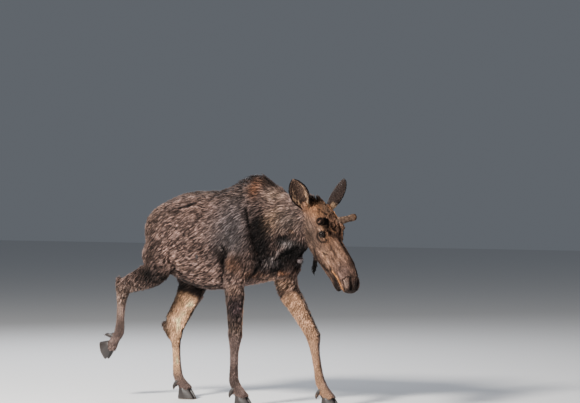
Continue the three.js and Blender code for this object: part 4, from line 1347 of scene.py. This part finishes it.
EAR_FUR = {  # how many, lean to the rim, (length, width, lift), colour, and start on the unwrap
    "outer": (2600, 0.0, (13, 3.4, 2.2), OUTER_FUR, 0.0),
    "inner": (900, -0.15, (14, 3, 3), INNER_FUR, 0.5),
    "cream": (110, -0.3, (44, 3.4, 11), CREAM, 0.5),
    "rim": (700, 0.2, (14, 2.6, 2.5), RIM_FUR, 0.0),
}
for side in EARS:
    rng = np.random.default_rng(11 + len(side))
    outer, inner = (from_head(ear_leaf(side, half)) for half in (LEAF_HALF, -LEAF_HALF))
    middle_of_ear = inner[10:30].reshape(-1, 3).mean(0)
    sets = []
    for kind, (number, lean, size, base, offset) in EAR_FUR.items():
        leaf = outer if kind in ("outer", "rim") else inner
        along = rng.random(number) ** 0.85
        across = rng.uniform(-1, 1, number)
        if kind == "rim":
            across = np.sign(across) * rng.uniform(0.93, 1, number)
        if kind == "cream":
            across = np.sign(across) * rng.uniform(0.55, 0.95, number)
            along = rng.random(number) ** 2 * 0.62
        place, normal, up, cross = leaf_roots(leaf, along * 0.985, across)
        inward = middle_of_ear - place
        facing = np.sign(np.sum(normal * inward, axis=1, keepdims=True))
        normal = normal * (-facing if leaf is outer else facing)
        way = unit(up + cross * np.sign(across)[:, None] * lean)
        stray = np.exp(0.22 * rng.normal(size=(3, number)))
        colour = np.tile(linear(base), (number, 1))
        if kind == "inner":
            colour = blend_in(colour, "#0e0a09", ease(0.42, 0.2, along + 0.08 * np.abs(across)))
        if leaf is outer:
            ahead = (place - leaf_roots(leaf, along * 0.985, 0 * across)[0]) @ view_right
            pale = ease(0.27, 0.15, along) * ease(15, 27, ahead) * 0.95
            colour = blend_in(blend_in(colour, "#5b4536", ease(0.16, 0.0, along)), "#b09072", pale)
        corners = blades(place, normal, way, size[0] * stray[0], size[1] * stray[1],
                         size[2] * stray[2], 0.12 * size[0] * rng.normal(size=number))
        colours = tuft_colours(colour, rng.random(number), rng, 0.2, 0.55, 0.15, 1.5)
        spot = np.stack([0.01 + offset + 0.24 * (across + 1), 0.01 + 0.98 * along], axis=1)
        sets.append((corners, colours, spot))
    piece = tuft_piece("ear_" + side + "_fur", *(np.concatenate(part) for part in zip(*sets)))
    hand_over(piece, guard_hair, "face_coat")
    print(piece.name, len(piece.data.vertices) // 7, "tufts")

# %% [markdown]
# ## Antlers in velvet
#
# In early summer a young bull's antlers are blunt stubs, still growing under a furry skin
# called velvet. Each is a tube whose radius swells at the end, roughened by low bumps, with a
# pile of very short hairs that softens its edge.

# %% Stubs
ANTLERS = {"left": ((150, 70, 0), (139, 217, 66)), "right": ((150, -70, 0), (170, -184, 57))}
STUB_SWELL = {"left": 1.12, "right": 1.28}  # the velvet's thickness over the solids
STUB_ROWS, STUB_SIDES = 40, 36
STUB = [(-0.12, 24), (0.0, 25), (0.25, 25), (0.55, 21), (0.8, 24), (0.93, 21), (0.985, 13)]


def velvet_colour(places, share, side):
    """Brown with a tan band round the end; the right stub is painted near black, as painted shade.
    """
    # The right stub's near black is painted shade: it is the same velvet as the left stub.
    base, end = {"left": ("#6b5648", "#5b4232"), "right": ("#120d0b", "#1f1612")}[side]
    colours = blend_in(np.tile(linear(base), (len(places), 1)), "#7d5f4a",
                       bump(share - 0.82, 0.06) * 0.5)
    colours = blend_in(colours, end, ease(0.84, 0.9, share) * 0.9)
    return colours * np.exp(0.35 * blots(places, 5))[:, None]


for side, (root, tip) in ANTLERS.items():
    root, tip = np.array(root, float), np.array(tip, float)
    table = through(STUB, STUB_ROWS)
    table[:, 1] = np.maximum(table[:, 1], 3)
    table[:, 1] *= STUB_SWELL[side]
    path = root + (tip - root) * table[:, :1]
    rows = tube_rows(np.c_[path, table[:, 1], table[:, 1], table[:, 1]], STUB_SIDES, STUB_ROWS,
                     (1, 0, 0))
    rows += unit(rows - rows.mean(axis=1, keepdims=True)) * lumps(rows, 7, 1.6)[..., None]
    rows = from_head(rows)
    corners, sides_of, ends = grid_shell(rows)
    piece = new_piece("antler_" + side + "_velvet", corners, sides_of, ends)
    tip_share = np.r_[np.repeat(table[:, 0], STUB_SIDES), 0, 1]
    paint(piece, velvet_colour(corners, tip_share, side) * 0.75)
    hand_over(piece, velvet, "antler_velvet", "antler_" + side)

    rng = np.random.default_rng(23 + len(side))
    fan = as_triangles(sides_of, ends)
    bumps_out = corner_normals(corners, fan)
    at_roots = scatter(corners, fan, np.full(len(corners), 0.055), rng)
    place, normal = at_roots(corners), unit(at_roots(bumps_out))
    way = unit(from_head(tip) - from_head(root)) + 0.25 * rng.normal(size=(len(place), 3))
    way = unit(way - normal * np.sum(way * normal, axis=1, keepdims=True))
    number = len(place)
    corners = blades(place, normal, way, rng.uniform(4, 7, number), np.full(number, 1.5),
                     rng.uniform(1.2, 2.6, number), rng.normal(size=number) * 0.6)
    share = (place - from_head(root)) @ unit(from_head(tip) - from_head(root))
    colour = velvet_colour(place, share / np.linalg.norm(tip - root), side)
    spot = unwrap(place, [from_head(root), from_head(tip)])
    colours = tuft_colours(colour, rng.random(number), rng, 0.25, 0.7, 0.15, 1.4)
    hand_over(tuft_piece("antler_" + side + "_pile", corners, colours, spot), velvet,
              "antler_velvet")
    print(piece.name, number, "hairs, to", round(float(share.max())), "mm")

# %% [markdown]
# ## Eyes
#
# A moose's eye is dark, with an iris near black-brown and a pupil that is a level bar. Each eye
# is a ball whose front, the cornea, bulges by a millimetre and a half. Two lids of bare dark
# skin fold over its edge, and the upper one carries lashes.

# %% Eyeballs
def eye_side(places, sign):
    """Folds a place by the left eye onto the eye of that side, and puts it on the head."""
    return from_head(places * [1, sign, 1])


for side, sign in (("left", 1), ("right", -1)):
    ball = ball_rows(60, 64)
    facing = ball[..., 0]
    ball = ball * (EYE_RADIUS + 1.5 * ease(0.72, 0.95, facing))[..., None]
    spot = ball @ np.array([EYE_OUT, EYE_LONG, EYE_UP])
    rows = eye_side(EYE_PLACE + spot - EYE_OUT * 0.8, sign)
    corners, sides_of, ends = grid_shell(rows)
    piece = new_piece("eyeball_" + side, corners, sides_of, ends)
    face_on = np.vstack([(ball / EYE_RADIUS).reshape(-1, 3), [1, 0, 0], [-1, 0, 0]])
    ring = np.hypot(face_on[:, 1], face_on[:, 2])
    colours = np.tile(linear("#140b07"), (len(face_on), 1))
    colours = blend_in(colours, "#22130a", bump(ring - 0.42, 0.12) * 0.7)
    colours = blend_in(colours, "#070504", ease(0.52, 0.66, ring))
    bar = ease(1.15, 0.85, np.hypot(face_on[:, 1] / 0.34, face_on[:, 2] / 0.17))
    colours = blend_in(colours, "#020202", bar)
    paint(piece, colours)
    hand_over(piece, wet_eye, "eye", "eye_" + side)
    print(piece.name, "is", round(2 * EYE_RADIUS), "mm across")


# %% Lid rims and lashes
def edge_ways(turn):
    """The way from the eye's middle to the edge of the opening, at angles round it."""
    wide = LID_LONG * np.sign(np.cos(turn)) * np.abs(np.cos(turn)) ** (2 / LID_CURVE)
    tall = LID_TALL * np.sin(turn)
    front = np.sqrt(1 - wide ** 2 - tall ** 2)
    return wide[:, None] * EYE_LONG + tall[:, None] * EYE_UP + front[:, None] * EYE_OUT


RIM_SPOTS, RIM_SIDES = 72, 10  # corners along the rim, and round it
RIM_REACH, LASH_REACH = 22.4, 23.6  # from the eye's middle
turn = np.linspace(0, 2 * np.pi, RIM_SPOTS, endpoint=False)
rim_ways = edge_ways(turn)
tangents = unit(np.roll(rim_ways, -1, axis=0) - np.roll(rim_ways, 1, axis=0))
rim_side = np.cross(rim_ways, tangents)
around = np.linspace(0, 2 * np.pi, RIM_SIDES, endpoint=False)
thick = 1.5 + 0.6 * np.maximum(np.sin(turn), 0)
rim = (rim_ways[:, None] * (RIM_REACH + thick[:, None, None] * np.cos(around)[None, :, None])
       + rim_side[:, None] * (thick[:, None, None] * 1.3 * np.sin(around)[None, :, None]))
corner = np.arange(RIM_SPOTS * RIM_SIDES).reshape(RIM_SPOTS, RIM_SIDES)
next_ring, next_spot = np.roll(corner, -1, axis=0), np.roll(corner, -1, axis=1)
rim_faces = np.stack([corner, next_ring, np.roll(next_ring, -1, axis=1), next_spot],
                     axis=-1).reshape(-1, 4)
lash_ways = edge_ways(np.linspace(0.12, 0.88, 17) * np.pi)
for side, sign in (("left", 1), ("right", -1)):
    corners = eye_side(EYE_PLACE + rim.reshape(-1, 3), sign)
    middle = corners.reshape(RIM_SPOTS, RIM_SIDES, 3).mean(axis=1)
    first = corners[rim_faces[0]]
    outwards = np.cross(first[1] - first[0], first[2] - first[0]) @ (first[0] - middle[0]) > 0
    piece = new_piece("lids_" + side, corners, rim_faces if outwards else rim_faces[:, ::-1])
    paint(piece, np.tile(linear("#1d1512"), (len(corners), 1)))
    hand_over(piece, bare_hide, "face_coat")

    rng = np.random.default_rng(31)
    number = len(lash_ways)
    start = eye_side(EYE_PLACE + lash_ways * LASH_REACH, sign)
    way = unit(eye_side(EYE_PLACE + lash_ways * 50 + EYE_OUT * 14 + EYE_UP * 2, sign) - start)
    up = unit(eye_side(EYE_UP, sign) - eye_side(np.zeros(3), sign))
    normal = unit(up - way * (way @ up)[:, None])
    corners = blades(start - way * 2, normal, way, rng.uniform(14, 19, number),
                     np.full(number, 1.3), np.full(number, 2.5), rng.normal(size=number))
    colours = np.tile(linear("#15100d"), (number, 7, 1))
    spot = np.stack([np.linspace(0.05, 0.95, number), np.full(number, 0.5)], axis=1)
    hand_over(tuft_piece("lashes_" + side, corners, colours, spot), guard_hair, "face_coat")
    print(piece.name, "with", number, "lashes")

# %% [markdown]
# ## Hooves and dewclaws
#
# Each foot stands on two long pointed claws, with two small dewclaws behind. A claw is a stack
# of outlines from sole to coronet, each an ellipse drawn out to a point in front. Its wall
# grows downwards, so it carries faint rings, and gravel wears its lower edge pale.

# %% Claws
FEET = {  # from the hooves' rearmost and lowest to the fetlock, and how far the foot leans over
    "foreleg_left": ((-25.0, 203.6), 0), "foreleg_right": ((-25.0, 201.2), 0),
    "hindleg_left": ((-25.0, 185.0), 0), "hindleg_right": ((186.9, 228.8), 72),
}
STANDING_HEIGHT = 205.0  # of the fetlock over a foot that stands flat
CLAW = [  # height, middle, half length, half width
    (0, 100, 72, 24.5), (3, 99.6, 73.5, 26), (16, 98, 72.5, 27), (50, 90, 59.5, 26.5),
    (80, 80, 45.5, 23.5), (90, 77, 40, 20),
]
DEWCLAW = [  # x, y, z, then over, under and side
    (24, 26, 152, 12, 12, 11), (2, 32, 128, 17, 15, 15.5), (-12, 37, 98, 13.5, 12.5, 13.5),
    (-14, 40, 76, 3, 3, 3),
]


def fetlock_of(foot):
    """Where a foot's fetlock is, told from the box round its two hooves."""
    boxes = np.array([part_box(foot + "_hoof_" + word) for word in ("inner", "outer")]) / MM
    low, high = boxes[:, 0].min(axis=0), boxes[:, 1].max(axis=0)
    ahead, above = FEET[foot][0]
    return np.array([low[0] + ahead, (low[1] + high[1]) / 2, low[2] + above])


def on_foot(places, foot):
    """Puts a place of the foot's own frame, which stands under the fetlock, on that foot."""
    fetlock, lean = fetlock_of(foot), FEET[foot][1]
    height = STANDING_HEIGHT if lean else fetlock[2]
    cosine, sine = math.cos(math.radians(lean)), math.sin(math.radians(lean))
    x, y, z = places[..., 0], places[..., 1], places[..., 2] - height
    return np.stack([x * cosine + z * sine, y, z * cosine - x * sine], axis=-1) + fetlock


def claw_rows(side, count=34, around=48):
    """Outlines of a claw: x is a cosine, y a sine that narrows in front, rings on the wall."""
    table = through(CLAW, count)
    turn = np.linspace(0, 2 * np.pi, around, endpoint=False)
    nose = np.maximum(np.cos(turn), 0)
    grown = 1 + 0.012 * np.sin(table[:, :1] / 1.9) * ease(4, 12, table[:, :1])
    x = table[:, 1, None] + table[:, 2, None] * grown * np.cos(turn)
    half = table[:, 3, None] * grown * (1 - 0.38 * nose ** 1.5)
    y = side * (30 - 10 * nose) + half * np.sin(turn)
    return np.stack([x, y, table[:, :1] + 0 * x], axis=-1)


for foot in FEET:
    for word, side in (("inner", -1), ("outer", 1)):
        toward = side if "left" in foot else -side
        rows = claw_rows(toward)
        corners, sides_of, ends = grid_shell(on_foot(rows, foot))
        piece = new_piece(foot + "_claw_" + word, corners, sides_of, ends)
        height = np.r_[rows[..., 2].ravel(), 0, 90]
        colours = np.tile(linear("#262120"), (len(corners), 1))
        colours = blend_in(colours, "#5c5048", ease(14, 2, height) * 0.7)
        colours = blend_in(colours, "#3f352f", bump(np.mod(height, 17) - 8, 3) * 0.4)
        paint(piece, colours)
        hand_over(piece, horn, "hoof_horn", foot + "_hoof_" + word)

        rows = tube_rows(np.array(DEWCLAW) * [1, toward, 1, 1, 1, 1], 24, 26)
        corners, sides_of, ends = grid_shell(on_foot(rows, foot))
        piece = new_piece(foot + "_dew_" + word, corners, sides_of, ends)
        tone = 0.8 + 0.4 * ease(120, 80, np.r_[rows[..., 2].ravel(), 152, 76])
        paint(piece, linear("#2b2421") * tone[:, None])
        hand_over(piece, horn, "hoof_horn", foot + "_dewclaw_" + word)
    print(foot, "has two claws and two dewclaws")

# %% [markdown]
# ## Growths on the hide
#
# This animal carries small bare growths: one on the front of the chest, one low on the flank,
# and two side by side behind the shoulder. Each is a ball seated in the skin, with a coarse
# lumpy face.

# %% Growths
WARTS = [((631, 14, 1163), 26, "#564b4b"), ((-167, -266, 1180), 15, "#2f2827"),
         ((54, -259, 1254), 13, "#3a302c"), ((66, -256, 1236), 10, "#3a302c")]
shells = []
for middle, radius, base in WARTS:
    ball = ball_rows(28, 36)
    swell = radius * (1 + lumps(ball * 20, 6, 0.16) + lumps(ball * 20, 2.7, 0.05))
    corners, sides_of, ends = grid_shell(ball * swell[..., None] + middle)
    tone = 1 + 4 * lumps(np.vstack([ball.reshape(-1, 3), [1, 0, 0], [-1, 0, 0]]) * 20, 6, 0.1)
    shells.append((corners, sides_of, ends, linear(base) * tone[:, None]))
starts = np.cumsum([0] + [len(shell[0]) for shell in shells])
piece = new_piece("growths", np.vstack([shell[0] for shell in shells]),
                  np.vstack([shell[1] + start for shell, start in zip(shells, starts)]),
                  np.vstack([shell[2] + start for shell, start in zip(shells, starts)]))
paint(piece, np.vstack([shell[3] for shell in shells]))
hand_over(piece, bare_hide, "body_coat")
print("growths:", len(WARTS))
